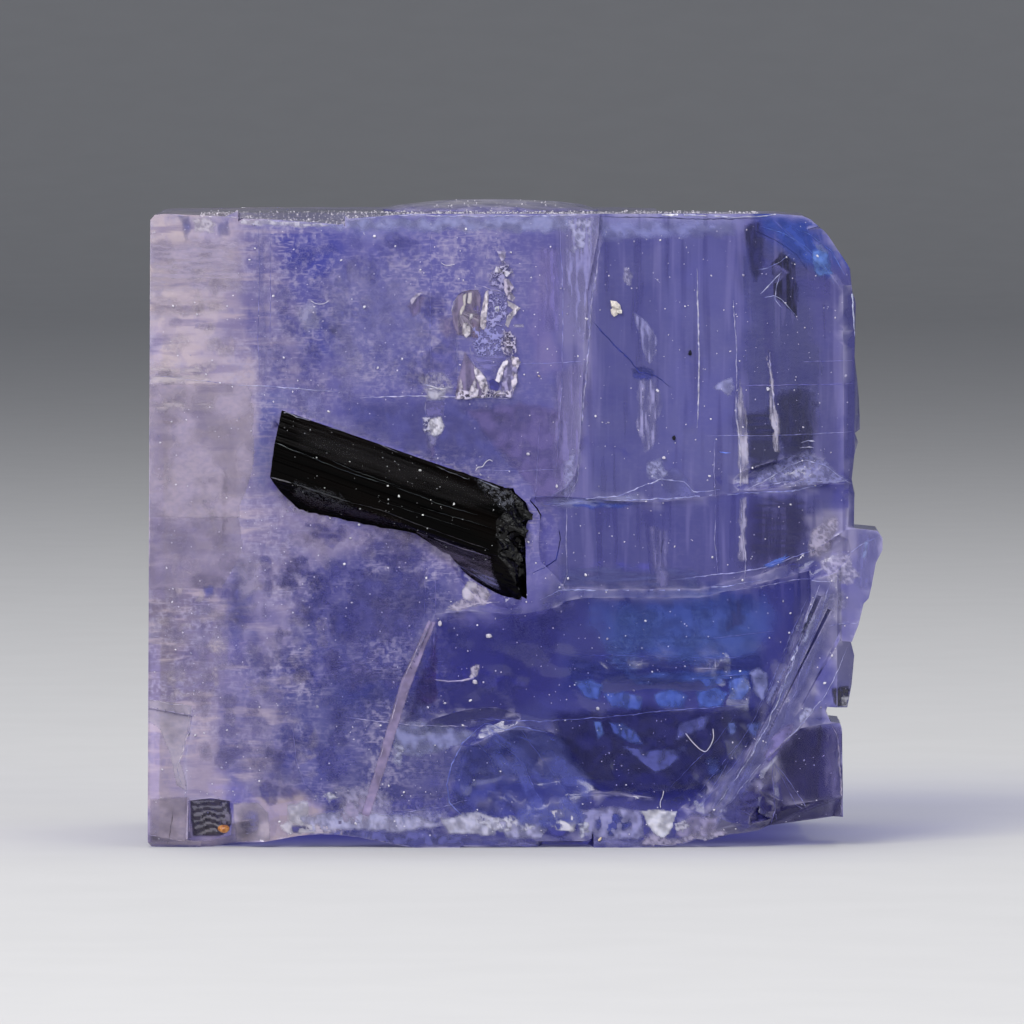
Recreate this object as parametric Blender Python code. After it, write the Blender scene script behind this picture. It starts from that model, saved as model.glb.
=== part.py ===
# Carletonite: a stubby blue-violet crystal block with a black prism set in its front face.
# The front face looks along -Y. X runs to the right, Z up, and the origin is under the middle of the block.

import math
import random

import bmesh
import bpy
from mathutils import Matrix, Vector, noise

# Driving dimensions, in millimetres
HALF_WIDTH = 6.62        # from the middle to the left face's foot, and to the tip of the right-hand shard
TOP_Z = 11.42            # the basal face on top
HUMP_TOP_Z = 11.63       # the low growth hump on it
BODY_DEPTH = 9.0         # front face to back face
PRISM_PROUD = 0.45       # how far the black prism stands out of the front face
GAP = 0.05               # between the block and the pieces set in it

PRISM_ANGLE = 19.1       # degrees, how far the black prism dips to the right
PRISM_START = (-4.32, 7.03)   # x, z of its left end's middle
FRACTURE_SLOPE = 0.85    # how far its broken end runs on for each millimetre of depth

FRONT_Y = -(BODY_DEPTH - PRISM_PROUD) / 2
BACK_Y = FRONT_Y + BODY_DEPTH
MM = 0.001
WELD = 1e-7              # metres, for points that are the same point
RANDOM_SEED = 41

# The block seen from the front, in millimetres (x, z), from the left foot round to the right
UNDERSIDE = [(-6.62, 0.10), (-6.54, 0.0), (-5.75, 0.0), (-5.3, 0.04), (-4.5, 0.05), (-3.9, 0.13), (-3.25, 0.18),
             (-2.25, 0.11), (-1.7, 0.06), (-0.75, 0.0), (2.9, 0.0), (3.4, 0.10), (3.87, 0.26), (4.39, 0.26),
             (4.57, 0.35), (5.45, 0.45), (5.92, 0.51)]
RIGHT_SIDE = [(5.90, 2.13), (5.85, 2.25), (5.69, 2.27), (5.60, 2.45), (5.62, 2.54), (5.99, 2.52), (6.07, 2.92),
              (6.12, 3.45), (6.05, 3.72), (6.04, 4.70), (6.11, 5.75), (6.12, 6.36), (6.07, 6.63), (6.12, 7.08),
              (6.19, 7.29), (6.13, 7.46), (6.23, 7.52), (6.23, 7.76), (6.17, 8.45), (6.12, 8.84), (6.15, 9.80),
              (6.08, 10.0), (6.04, 10.42)]
TOP_RIGHT_CORNER = [(5.76, 10.86), (5.58, 11.09), (5.33, 11.31), (5.17, 11.38), (4.7, TOP_Z)]
TOP_LEFT_CORNER = [(-6.30, TOP_Z), (-6.48, 11.40), (-6.56, 11.31)]

# The block seen from above (x, y behind the front face): narrow bevels, growth steps and a broken back corner
PLAN = [(-6.7, 0.04), (-6.6, 0.0), (5.80, 0.0), (6.12, 0.42), (6.3, 1.0), (6.3, 3.9), (6.05, 4.15), (6.02, 6.6),
        (5.75, 6.9), (5.60, 8.0), (4.95, 8.7), (4.20, BODY_DEPTH), (0.65, BODY_DEPTH), (0.45, 8.82), (-3.9, 8.78),
        (-4.1, 8.95), (-5.50, 8.92), (-6.25, 8.45), (-6.36, 7.1), (-6.56, 6.85), (-6.7, 6.5)]

# The block seen from the side (y behind the front face, z): the back's lower part is broken away in a ledge
PROFILE = [(-0.5, -0.5), (6.8, -0.5), (7.6, 0.28), (8.3, 0.95), (8.55, 2.6), (9.05, 3.1), (9.05, 11.1), (8.85, 12.5),
           (-0.5, 12.5)]

# The plate that stands out to the right as a shard
SHARD = [(4.7, 4.4), (5.6, 3.75), (6.07, 3.71), (6.19, 4.02), (6.28, 4.40), (6.37, 4.49), (6.42, 4.70),
         (6.50, 5.13), (HALF_WIDTH, 5.37), (HALF_WIDTH, 5.58), (6.53, 5.71), (6.0, 5.77), (5.1, 5.35)]
SHARD_FRONT = 0.10       # behind the front face
SHARD_THICKNESS = 2.1

# Ledges of the front face: the outline that is cut back, how deep, and the tilt of the new face in degrees
# (about X, about Z) round a point of the outline
FRONT_LEDGES = {
    "upper_right_plate": dict(
        outline=[(1.55, 12.0), (1.50, 11.05), (1.38, 10.45), (1.30, 10.0), (1.24, 8.95), (1.17, 7.35), (1.06, 6.45),
                 (0.85, 6.18), (2.6, 6.15), (4.6, 6.40), (6.6, 6.55), (6.6, 12.0)],
        depth=0.12, tilt=(0.5, 0.4), about=(1.2, 8.5)),
    "middle_band": dict(
        outline=[(0.32, 6.22), (1.3, 6.26), (2.6, 6.22), (4.6, 6.47), (6.8, 6.63), (6.8, 5.86), (5.95, 5.72),
                 (5.13, 5.19), (4.41, 4.92), (3.33, 4.66), (1.53, 4.65), (0.81, 4.74), (0.36, 5.2)],
        depth=0.22, tilt=(-1.6, 0.5), about=(1.5, 5.5)),
    "lower_fracture": dict(
        outline=[(-1.45, 4.2), (-1.98, 3.03), (-2.25, 2.13), (-2.70, 0.60), (-2.75, -0.5), (2.95, -0.5), (3.18, 0.25),
                 (3.56, 0.70), (4.10, 1.52), (4.60, 2.44), (4.92, 3.30), (5.32, 4.45), (5.30, 4.98), (4.4, 4.75),
                 (3.3, 4.5), (1.5, 4.5), (0.8, 4.6), (-0.3, 4.35)],
        depth=0.05, tilt=(-2.4, 3.2), about=(-1.7, 4.0)),
    "lower_right_block": dict(
        outline=[(5.13, 2.16), (5.55, 2.24), (6.6, 2.27), (6.6, -0.5), (3.45, -0.5), (3.69, 0.33), (4.14, 1.05),
                 (4.46, 1.54), (4.85, 1.92)],
        depth=0.34, tilt=(1.2, 1.4), about=(4.2, 2.2)),
    "band_slope": dict(
        outline=[(4.78, 2.95), (5.25, 2.10), (4.62, 1.46), (4.22, 0.95), (3.75, 0.1), (3.6, -0.5), (2.7, -0.5),
                 (3.30, 0.55), (3.95, 1.50), (4.45, 2.40)],
        depth=0.02, tilt=(-7.0, 2.0), about=(4.5, 2.9)),
    "left_foot_step": dict(
        outline=[(-7.0, 2.60), (-6.21, 2.45), (-5.81, 2.38), (-5.86, 2.0), (-5.94, 1.59), (-5.90, 0.95),
                 (-5.95, -0.5), (-7.0, -0.5)],
        depth=0.06, tilt=(0.4, 0.6), about=(-6.2, 2.0)),
    "middle_foot_step": dict(
        outline=[(0.9, 0.95), (2.7, 0.9), (3.35, 0.50), (4.05, 0.30), (4.05, -0.5), (0.4, -0.5)],
        depth=0.45, tilt=(-12.0, 0.5), about=(1.8, 0.8)),
}

# Parallel grooves in the raised band that runs down from the shard: start and end (x, z), and their width
BAND_GROOVES = [((5.48, 4.55), (3.95, 1.05), 0.09), ((5.66, 4.30), (4.55, 2.05), 0.07),
                ((5.98, 4.05), (5.10, 2.45), 0.08)]
GROOVE_DEPTH = 0.09

# Flat chips off edges: middle of the new face (x, behind the front, z), its outward direction, and its reach
CHIPS = {
    "corner_top_right": ((5.15, 0.10, 10.78), (0.42, -0.80, 0.42), 2.4),
    "corner_facet": ((5.78, 0.55, 10.62), (0.70, -0.52, 0.49), 1.2),
    "corner_back_top_right": ((5.25, 7.2, 10.75), (0.62, 0.34, 0.70), 4.2),
    "foot_front_left": ((-4.4, 0.16, 0.38), (0.10, -0.66, -0.74), 2.5),
    "foot_front_far_left": ((-6.15, 0.12, 0.16), (-0.08, -0.60, -0.79), 1.6),
    "foot_front_inner": ((-2.3, 0.30, 0.33), (-0.05, -0.62, -0.78), 3.0),
    "foot_front_middle": ((0.1, 0.42, 0.34), (0.06, -0.58, -0.81), 2.6),
    "foot_front_right": ((4.6, 0.62, 0.52), (0.15, -0.55, -0.82), 2.4),
    "edge_back_left": ((-6.1, 8.5, 10.9), (-0.55, 0.55, 0.62), 2.2),
    "edge_back_top": ((1.2, 8.86, 11.3), (0.10, 0.72, 0.69), 3.4),
    "foot_back_left": ((-5.9, 7.7, 0.7), (-0.60, 0.52, -0.60), 3.2),
    "foot_left": ((-6.5, 5.0, 0.2), (-0.72, 0.08, -0.69), 3.6),
    "edge_right_lower": ((5.72, 3.4, 1.2), (0.94, 0.32, -0.10), 2.8),
    "edge_front_right_upper": ((6.08, 0.30, 8.2), (0.80, -0.60, 0.05), 2.2),
}

# Shell-shaped hollows where the block broke: middle (x, behind the front, z), radii, and turn in degrees
SCOOPS = {
    "front_shell_large": ((0.55, -1.15, 1.05), (2.15, 1.62, 1.75), (4, 10, -9)),
    "front_shell_small": ((-0.85, -0.42, 2.20), (1.35, 0.62, 0.46), (-6, -10, 4)),
    "front_shell_right": ((2.60, -0.55, 1.30), (1.20, 1.18, 0.80), (4, 28, 6)),
    "front_flake": ((2.7, -0.36, 2.75), (1.55, 0.72, 0.42), (8, -4, 0)),
    "front_fan": ((4.35, -0.10, 0.55), (0.95, 0.80, 0.62), (0, 34, 8)),
    "beside_prism": ((-0.62, -0.36, 4.90), (0.82, 0.62, 0.42), (0, 28, 0)),
    "front_veined": ((4.75, -0.30, 6.75), (1.25, 0.62, 0.36), (0, -14, 0)),
    "front_corner_low": ((5.55, -0.34, 5.25), (0.75, 0.66, 0.42), (0, -24, 0)),
    "back_large": ((1.9, 9.95, 2.7), (3.3, 1.85, 2.5), (6, 16, -5)),
    "back_small": ((-3.4, 9.55, 1.5), (1.9, 1.30, 1.35), (-5, -20, 7)),
    "back_high": ((3.5, 9.60, 8.9), (1.5, 0.95, 2.1), (0, 12, 4)),
    "right_hollow": ((6.80, 5.6, 4.5), (1.25, 2.1, 1.6), (12, 0, 0)),
    "right_notch": ((6.35, 7.6, 8.7), (0.85, 1.3, 0.8), (-20, 0, 0)),
    "left_hollow": ((-7.15, 6.1, 2.1), (0.95, 1.9, 1.3), (0, 0, 8)),
    "top_hollow": ((4.7, 6.4, 11.9), (1.5, 1.8, 0.72), (0, 4, 12)),
    "under_left": ((-3.3, 3.6, -0.95), (2.3, 4.2, 1.45), (0, 0, 6)),
    "under_right": ((5.2, 4.6, -0.75), (2.2, 3.9, 1.45), (0, 0, -8)),
    "under_back": ((0.4, 8.2, -0.75), (3.6, 1.9, 1.3), (0, 0, 2)),
}
SHELL_UNEVENNESS = 0.055   # of a shell's radius

# Growth and cleavage steps of the other faces: corners of the box that is cut away and its turn in degrees
STEPS = {
    "right_low": ((5.42, 2.35, -0.6), (7.5, 9.6, 3.30), (0, 2.0, 1.5)),
    "right_middle": ((5.78, 2.25, 3.10), (7.5, 9.6, 5.90), (0, -1.5, 1.0)),
    "right_high": ((5.94, 4.30, 5.70), (7.5, 9.6, 8.30), (0, 0.8, -1.0)),
    "back_upper": ((-2.6, 8.62, 6.1), (3.0, 9.9, 12.2), (0.6, 0, 0.8)),
    "back_left": ((-7.3, 8.50, 4.4), (-3.7, 9.9, 7.9), (-0.8, 0, -1.2)),
    "left_back": ((-7.6, 5.4, 4.3), (-6.44, 9.6, 9.4), (0, -0.6, 0.8)),
    "left_low": ((-7.6, 2.1, -0.6), (-6.52, 9.6, 3.6), (0, 0.5, 1.2)),
}

TOP_SCOOP = [(-0.6, 11.20), (0.0, 11.22), (2.3, TOP_Z + 0.03), (2.3, 12.2), (-0.6, 12.2)]   # depth, z
TOP_SCOOP_X = (-4.98, -3.06)
TOP_SHELF = [(3.2, 11.40), (4.2, 11.33), (9.9, 11.30), (9.9, 12.2), (3.2, 12.2)]            # depth, z
TOP_SHELF_X = (2.6, 7.5)
HUMP = dict(middle=(-0.5, 4.9, TOP_Z - 0.06), radii=(2.1, 2.6, HUMP_TOP_Z - TOP_Z + 0.06))

PIT = [(-5.90, 0.20), (-5.52, 0.14), (-5.12, 0.19), (-5.08, 0.83), (-5.48, 0.90), (-5.88, 0.86)]
PIT_DEPTH = 0.62
GRAIN_MIDDLE = (-5.25, 0.22, 0.33)      # x, behind the front face, z
GRAIN_RADII = (0.12, 0.10, 0.08)

# The black prism's cross-section: u upwards across it, w out of the front face
PRISM_SECTION = [(0.95, -0.20), (0.83, 0.0), (0.27, PRISM_PROUD), (-0.06, 0.44), (-0.34, 0.41), (-0.95, -0.25),
                 (-0.78, -0.85), (-0.10, -1.12), (0.65, -0.85)]
PRISM_LENGTH = 4.55
TIP_OVERHANG = 0.10
TIP_BEVEL = ((-0.10, -0.28), (0.60, -0.95))   # two points (along, across) of the bevel on the tip's lower corner
SECTION_MIDDLE = -0.35                        # out of the front face
GRAIN_RELIEF = 0.08                           # of the broken end

random.seed(RANDOM_SEED)
for old in list(bpy.data.objects):
    bpy.data.objects.remove(old, do_unlink=True)

specimen = bpy.data.collections.new("carletonite")
bpy.context.scene.collection.children.link(specimen)
tools = bpy.data.collections.new("carletonite_cutters")
bpy.context.scene.collection.children.link(tools)


def place(x, behind, z):
    return Vector((x * MM, FRONT_Y * MM + behind * MM, z * MM))


def plain_material(name, colour, roughness, metallic):
    material = bpy.data.materials.new(name)
    material.use_nodes = True
    shader = material.node_tree.nodes["Principled BSDF"]
    shader.inputs["Base Color"].default_value = (*colour, 1.0)
    shader.inputs["Roughness"].default_value = roughness
    shader.inputs["Metallic"].default_value = metallic
    material.diffuse_color = (*colour, 1.0)
    return material


def keep(mesh_object, material):
    specimen.objects.link(mesh_object)
    mesh_object.data.materials.clear()
    mesh_object.data.materials.append(material)
    return mesh_object


def as_tool(mesh_object):
    tools.objects.link(mesh_object)
    mesh_object.hide_render = True
    mesh_object.display_type = "WIRE"
    return mesh_object


def object_from(name, shape):
    mesh = bpy.data.meshes.new(name)
    shape.to_mesh(mesh)
    shape.free()
    return bpy.data.objects.new(name, mesh)


# The three ways an outline can face: its flat sides look along Y, Z or X
FACING = {
    "Y": Matrix(((1, 0, 0), (0, 0, -1), (0, 1, 0))).to_4x4(),
    "Z": Matrix.Identity(4),
    "X": Matrix(((0, 0, 1), (1, 0, 0), (0, 1, 0))).to_4x4(),
}


def outline_solid(name, outline, facing, low, high):
    """A flat outline, in millimetres, drawn as a filled curve and given a thickness from low to high."""
    curve = bpy.data.curves.new(name, "CURVE")
    curve.dimensions = "2D"
    curve.fill_mode = "BOTH"
    curve.extrude = (high - low) / 2 * MM
    spline = curve.splines.new("POLY")
    spline.points.add(len(outline) - 1)
    for point, (across, up) in zip(spline.points, outline):
        point.co = (across * MM, up * MM, 0.0, 1.0)
    spline.use_cyclic_u = True
    drawn = bpy.data.objects.new(name + "_curve", curve)
    tools.objects.link(drawn)
    middle = (low + high) / 2 * MM
    shift = {"Y": (0, middle, 0), "Z": (0, 0, middle), "X": (middle, 0, 0)}[facing]
    drawn.matrix_world = Matrix.Translation(shift) @ FACING[facing]
    bpy.context.view_layer.update()
    evaluated = drawn.evaluated_get(bpy.context.evaluated_depsgraph_get())
    mesh = bpy.data.meshes.new_from_object(evaluated)
    shape = bmesh.new()
    shape.from_mesh(mesh)
    bmesh.ops.remove_doubles(shape, verts=shape.verts, dist=WELD)
    bmesh.ops.transform(shape, matrix=drawn.matrix_world, verts=shape.verts)
    bmesh.ops.recalc_face_normals(shape, faces=shape.faces)
    bpy.data.meshes.remove(mesh)
    bpy.data.objects.remove(drawn, do_unlink=True)
    bpy.data.curves.remove(curve)
    return object_from(name, shape)


def turn_about(mesh_object, middle, degrees):
    """Turns a shape's own mesh about a point, X first and then Y and Z."""
    turn = Matrix.Identity(4)
    for axis, angle in zip("XYZ", degrees):
        turn = Matrix.Rotation(math.radians(angle), 4, axis) @ turn
    mesh_object.data.transform(Matrix.Translation(middle) @ turn @ Matrix.Translation(-middle))
    return mesh_object


def box_between(name, low, high, degrees):
    """A box from one corner to the other, turned a little about its middle."""
    shape = bmesh.new()
    bmesh.ops.create_cube(shape, size=1.0)
    low, high = place(*low), place(*high)
    size = high - low
    middle = (low + high) / 2
    bmesh.ops.transform(shape, matrix=Matrix.Translation(middle) @ Matrix.Diagonal((*size, 1.0)),
                        verts=shape.verts)
    return turn_about(object_from(name, shape), middle, degrees)


def chip_box(name, middle, outwards, reach):
    """A box whose one face lies on a chip's new face and which takes away all that is outside it."""
    shape = bmesh.new()
    bmesh.ops.create_cube(shape, size=1.0)
    outwards = Vector(outwards).normalized()
    thickness = 1.6
    turn = outwards.to_track_quat("Z", "Y").to_matrix().to_4x4()
    centre = place(*middle) + outwards * thickness / 2 * MM
    size = Matrix.Diagonal((reach * MM, reach * MM, thickness * MM, 1.0))
    bmesh.ops.transform(shape, matrix=Matrix.Translation(centre) @ turn @ size, verts=shape.verts)
    return object_from(name, shape)


def shell_ball(name, middle, radii, degrees):
    """A flattened, uneven ball whose surface leaves a shell-shaped fracture with faint facets."""
    shape = bmesh.new()
    bmesh.ops.create_uvsphere(shape, u_segments=20, v_segments=12, radius=1.0)
    for corner in shape.verts:
        corner.co *= 1.0 + SHELL_UNEVENNESS * noise.noise(corner.co * 2.3 + place(*middle) / MM)
    size = Matrix.Diagonal((radii[0] * MM, radii[1] * MM, radii[2] * MM, 1.0))
    upright = Matrix.Rotation(math.radians(90), 4, "X")
    bmesh.ops.transform(shape, matrix=Matrix.Translation(place(*middle)) @ size @ upright, verts=shape.verts)
    return turn_about(object_from(name, shape), place(*middle), degrees)


def combine(target, other, operation):
    step = target.modifiers.new(operation.lower() + "_" + other.name, "BOOLEAN")
    step.object = other
    step.operation = operation
    step.solver = "EXACT"


def rough_block():
    """The block as its front outline, plan and profile meet, before any ledge is cut."""
    outline = UNDERSIDE + RIGHT_SIDE + TOP_RIGHT_CORNER + TOP_LEFT_CORNER
    block = outline_solid("carletonite_crystal", outline, "Y", FRONT_Y, BACK_Y)
    plan = [(x, FRONT_Y + behind) for x, behind in PLAN]
    profile = [(FRONT_Y + behind, z) for behind, z in PROFILE]
    combine(block, as_tool(outline_solid("plan_shape", plan, "Z", -0.9, 13.0)), "INTERSECT")
    combine(block, as_tool(outline_solid("profile_shape", profile, "X", -7.4, 7.4)), "INTERSECT")
    return block


def add_shard(block):
    shard = outline_solid("shard_plate", SHARD, "Y", FRONT_Y + SHARD_FRONT, FRONT_Y + SHARD_FRONT + SHARD_THICKNESS)
    combine(block, as_tool(shard), "UNION")


def add_hump(block):
    combine(block, as_tool(shell_ball("top_hump", HUMP["middle"], HUMP["radii"], (0, 0, 5))), "UNION")


def cut_top(block):
    for name, outline, (low, high) in (("top_scoop", TOP_SCOOP, TOP_SCOOP_X), ("top_shelf", TOP_SHELF, TOP_SHELF_X)):
        profile = [(FRONT_Y + behind, z) for behind, z in outline]
        combine(block, as_tool(outline_solid(name, profile, "X", low, high)), "DIFFERENCE")


def cut_front_ledges(block):
    for name, ledge in FRONT_LEDGES.items():
        cutter = outline_solid(name, ledge["outline"], "Y", FRONT_Y - 1.2, FRONT_Y + ledge["depth"])
        x, z = ledge["about"]
        about_x, about_z = ledge["tilt"]
        turn_about(cutter, place(x, ledge["depth"], z), (about_x, 0, about_z))
        combine(block, as_tool(cutter), "DIFFERENCE")


def cut_band_grooves(block):
    for number, (start, end, width) in enumerate(BAND_GROOVES, 1):
        along = Vector((end[0] - start[0], end[1] - start[1]))
        side = Vector((-along.y, along.x)).normalized() * width / 2
        outline = [(start[0] + side.x, start[1] + side.y), (end[0], end[1]), (start[0] - side.x, start[1] - side.y)]
        groove = outline_solid(f"band_groove_{number}", outline, "Y", FRONT_Y - 0.6, FRONT_Y + GROOVE_DEPTH)
        combine(block, as_tool(groove), "DIFFERENCE")


def cut_other_faces(block):
    for name, (low, high, degrees) in STEPS.items():
        combine(block, as_tool(box_between(name, low, high, degrees)), "DIFFERENCE")
    for name, (middle, outwards, reach) in CHIPS.items():
        combine(block, as_tool(chip_box(name, middle, outwards, reach)), "DIFFERENCE")
    for name, (middle, radii, degrees) in SCOOPS.items():
        combine(block, as_tool(shell_ball(name, middle, radii, degrees)), "DIFFERENCE")


def cut_pit(block):
    pit = outline_solid("pit_shape", PIT, "Y", FRONT_Y - 0.8, FRONT_Y + PIT_DEPTH)
    combine(block, as_tool(pit), "DIFFERENCE")


def prism_point(along, across, out):
    """A point of the black prism: along its length, across it in the front face's plane, and out of that face."""
    dip = math.radians(PRISM_ANGLE)
    x = PRISM_START[0] + along * math.cos(dip) + across * math.sin(dip)
    z = PRISM_START[1] - along * math.sin(dip) + across * math.cos(dip)
    return place(x, -out, z)


def prism_end(across, out):
    """How far the prism runs at a point of its section: its fracture slants back from the front face."""
    return PRISM_LENGTH - FRACTURE_SLOPE * out - 0.25 * across


def bevel_tip(shape, margin):
    """Cuts the lower corner of the prism's flat tip away, along a plane through two points (along, across)."""
    first, second = (Vector(point) for point in TIP_BEVEL)
    edge = (second - first).normalized()
    outwards = Vector((edge.y, -edge.x))
    corner = first + outwards * margin
    origin = prism_point(0, 0, 0)
    normal = prism_point(outwards.x, outwards.y, 0) - origin
    bmesh.ops.bisect_plane(shape, geom=[*shape.verts, *shape.edges, *shape.faces], dist=WELD,
                           plane_co=prism_point(corner.x, corner.y, 0), plane_no=normal, clear_outer=True)
    bmesh.ops.holes_fill(shape, edges=[edge for edge in shape.edges if edge.is_boundary], sides=0)


def prism_solid(margin, end_margin):
    """The prism, grown outwards by a margin where it serves as the shape of its socket."""
    shape = bmesh.new()
    starts, ends = [], []
    for across, out in PRISM_SECTION:
        grown = 1.0 + margin / math.hypot(across, out - SECTION_MIDDLE)
        wide, deep = across * grown, (out - SECTION_MIDDLE) * grown + SECTION_MIDDLE
        starts.append(shape.verts.new(prism_point(-TIP_OVERHANG - margin, wide, deep)))
        ends.append(shape.verts.new(prism_point(prism_end(across, out) + end_margin, wide, deep)))
    shape.faces.new(starts)
    broken = shape.faces.new(ends)
    for here in range(len(starts)):
        after = (here + 1) % len(starts)
        shape.faces.new((starts[here], starts[after], ends[after], ends[here]))
    bevel_tip(shape, margin)
    bmesh.ops.recalc_face_normals(shape, faces=shape.faces)
    return shape, broken


def black_prism():
    """The prism with its flat tip and its broken end, whose rings are pushed in and out like grains."""
    shape, broken = prism_solid(0.0, 0.0)
    along = (prism_point(1, 0, 0) - prism_point(0, 0, 0)).normalized()
    for thickness in (0.14, 0.16, 0.18):
        rim = set(broken.verts)
        bmesh.ops.inset_individual(shape, faces=[broken], thickness=thickness * MM)
        for corner in set(broken.verts) - rim:
            corner.co += along * random.uniform(-GRAIN_RELIEF, GRAIN_RELIEF) * MM
    poked = bmesh.ops.poke(shape, faces=[broken])
    for corner in poked["verts"]:
        corner.co -= along * 0.05 * MM
    bmesh.ops.triangulate(shape, faces=[face for face in shape.faces if len(face.verts) > 4])
    return object_from("aegirine_prism", shape)


def cut_socket(block):
    shape, _ = prism_solid(GAP, GAP + GRAIN_RELIEF)
    combine(block, as_tool(object_from("prism_socket", shape)), "DIFFERENCE")


def orange_grain():
    """A small angular grain that sits in the pit."""
    shape = bmesh.new()
    bmesh.ops.create_icosphere(shape, subdivisions=2, radius=1.0)
    for corner in shape.verts:
        corner.co *= random.uniform(0.86, 1.0)
    size = Matrix.Diagonal((*(radius * MM for radius in GRAIN_RADII), 1.0))
    bmesh.ops.transform(shape, matrix=Matrix.Translation(place(*GRAIN_MIDDLE)) @ size, verts=shape.verts)
    return object_from("orange_grain", shape)


crystal = rough_block()
add_shard(crystal)
cut_top(crystal)
add_hump(crystal)
cut_front_ledges(crystal)
cut_band_grooves(crystal)
cut_other_faces(crystal)
cut_pit(crystal)
cut_socket(crystal)

keep(crystal, plain_material("blue_violet_crystal", (0.13, 0.12, 0.42), 0.25, 0.0))
keep(black_prism(), plain_material("black_crystal", (0.006, 0.005, 0.005), 0.22, 0.0))
keep(orange_grain(), plain_material("orange_mineral", (0.42, 0.17, 0.03), 0.5, 0.0))
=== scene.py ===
import math
import random

import bpy
import numpy as np
from mathutils import Matrix, Vector
from mathutils.bvhtree import BVHTree


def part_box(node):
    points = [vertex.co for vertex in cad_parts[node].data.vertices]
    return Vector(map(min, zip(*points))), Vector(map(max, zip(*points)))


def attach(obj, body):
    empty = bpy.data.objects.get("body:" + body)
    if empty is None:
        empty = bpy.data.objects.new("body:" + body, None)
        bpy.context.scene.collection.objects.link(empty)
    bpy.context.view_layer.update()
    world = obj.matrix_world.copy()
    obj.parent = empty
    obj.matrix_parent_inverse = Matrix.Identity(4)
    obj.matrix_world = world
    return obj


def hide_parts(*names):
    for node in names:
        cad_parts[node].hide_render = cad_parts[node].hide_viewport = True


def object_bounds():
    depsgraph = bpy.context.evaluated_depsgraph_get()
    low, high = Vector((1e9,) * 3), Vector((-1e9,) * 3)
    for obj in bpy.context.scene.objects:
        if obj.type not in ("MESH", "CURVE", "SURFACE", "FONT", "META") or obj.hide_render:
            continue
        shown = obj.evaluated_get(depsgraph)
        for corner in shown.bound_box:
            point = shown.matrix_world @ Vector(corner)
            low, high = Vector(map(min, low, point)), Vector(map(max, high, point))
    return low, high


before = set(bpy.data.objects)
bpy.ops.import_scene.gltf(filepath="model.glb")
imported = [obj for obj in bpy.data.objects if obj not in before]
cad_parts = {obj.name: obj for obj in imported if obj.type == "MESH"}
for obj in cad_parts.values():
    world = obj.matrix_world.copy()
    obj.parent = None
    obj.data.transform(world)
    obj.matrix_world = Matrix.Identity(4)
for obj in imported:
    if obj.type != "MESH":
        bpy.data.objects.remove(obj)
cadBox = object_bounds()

# shared values
mm = 0.001
pixel = 0.018 * mm            # one photo pixel on the front face
middlePx = 515                # photo column over x = 0
floorPy = 848.3               # photo row of the floor
frontY = -4.275 * mm          # the flat front face
gap = 0.002 * mm              # how far thin marks stand off what carries them
dice = random.Random(11)      # every random draw comes from here


def onPhoto(px, py):
    # x and z on the front face for a place in the photo
    return (px - middlePx) * pixel, (floorPy - py) * pixel


def linear(rgb):
    # a colour given 0 to 255, as the value a shader wants
    out = []
    for value in rgb:
        c = value / 255.0
        out.append(c / 12.92 if c <= 0.04045 else ((c + 0.055) / 1.055) ** 2.4)
    return out


def readTable(text):
    # rows of "name: numbers | corners"; colours and corners are numbers joined by commas
    rows = []
    for line in text.strip().splitlines():
        head, bar, corners = line.partition("|")
        if bar:
            name, numbers = head.split(":")
            rows.append([name] + [readWord(word) for word in numbers.split()] + [[]])
        rows[-1][-1] += [readWord(word) for word in (corners if bar else line).split()]
    return rows


def readWord(word):
    return tuple(float(part) for part in word.split(",")) if "," in word else float(word)


def deselectAll():
    if bpy.context.object and bpy.context.object.mode != "OBJECT":
        bpy.ops.object.mode_set(mode="OBJECT")
    bpy.ops.object.select_all(action="DESELECT")


def makeActive(piece):
    deselectAll()
    bpy.context.view_layer.objects.active = piece
    piece.select_set(True)


def copyOfNode(name, nodeName):
    # a merged copy of a CAD node, ready for edit mode
    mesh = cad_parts[nodeName].data.copy()
    mesh.name = name
    mesh.materials.clear()
    piece = bpy.data.objects.new(name, mesh)
    bpy.context.scene.collection.objects.link(piece)
    makeActive(piece)
    bpy.ops.object.mode_set(mode="EDIT")
    bpy.ops.mesh.select_all(action="SELECT")
    bpy.ops.mesh.remove_doubles(threshold=1e-7)
    bpy.ops.mesh.dissolve_limited(angle_limit=math.radians(0.4))
    bpy.ops.object.mode_set(mode="OBJECT")
    return piece


def bevelEdges(piece, values, segments):
    makeActive(piece)
    bevel = piece.modifiers.new("bevel", "BEVEL")
    bevel.width = values["edgeBevel"]
    bevel.segments = segments
    bevel.limit_method = "ANGLE"
    bevel.angle_limit = math.radians(values["bevelAngle"])
    bevel.use_clamp_overlap = True
    bpy.ops.object.modifier_apply(modifier=bevel.name)


def threes(items, what):
    # one vector of each item, as rows
    values = np.empty(len(items) * 3)
    items.foreach_get(what, values)
    return values.reshape(-1, 3)


def coordinates(mesh):
    return threes(mesh.vertices, "co")


def normalsOf(mesh):
    return threes(mesh.vertices, "normal")


def setCoordinates(mesh, points):
    mesh.vertices.foreach_set("co", points.reshape(-1).astype(np.float32))
    mesh.update()


def paintVertices(mesh, name, colours):
    layer = mesh.attributes.new(name, "FLOAT_COLOR", "POINT")
    layer.data.foreach_set("color", np.asarray(colours, dtype=np.float32).reshape(-1))


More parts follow.
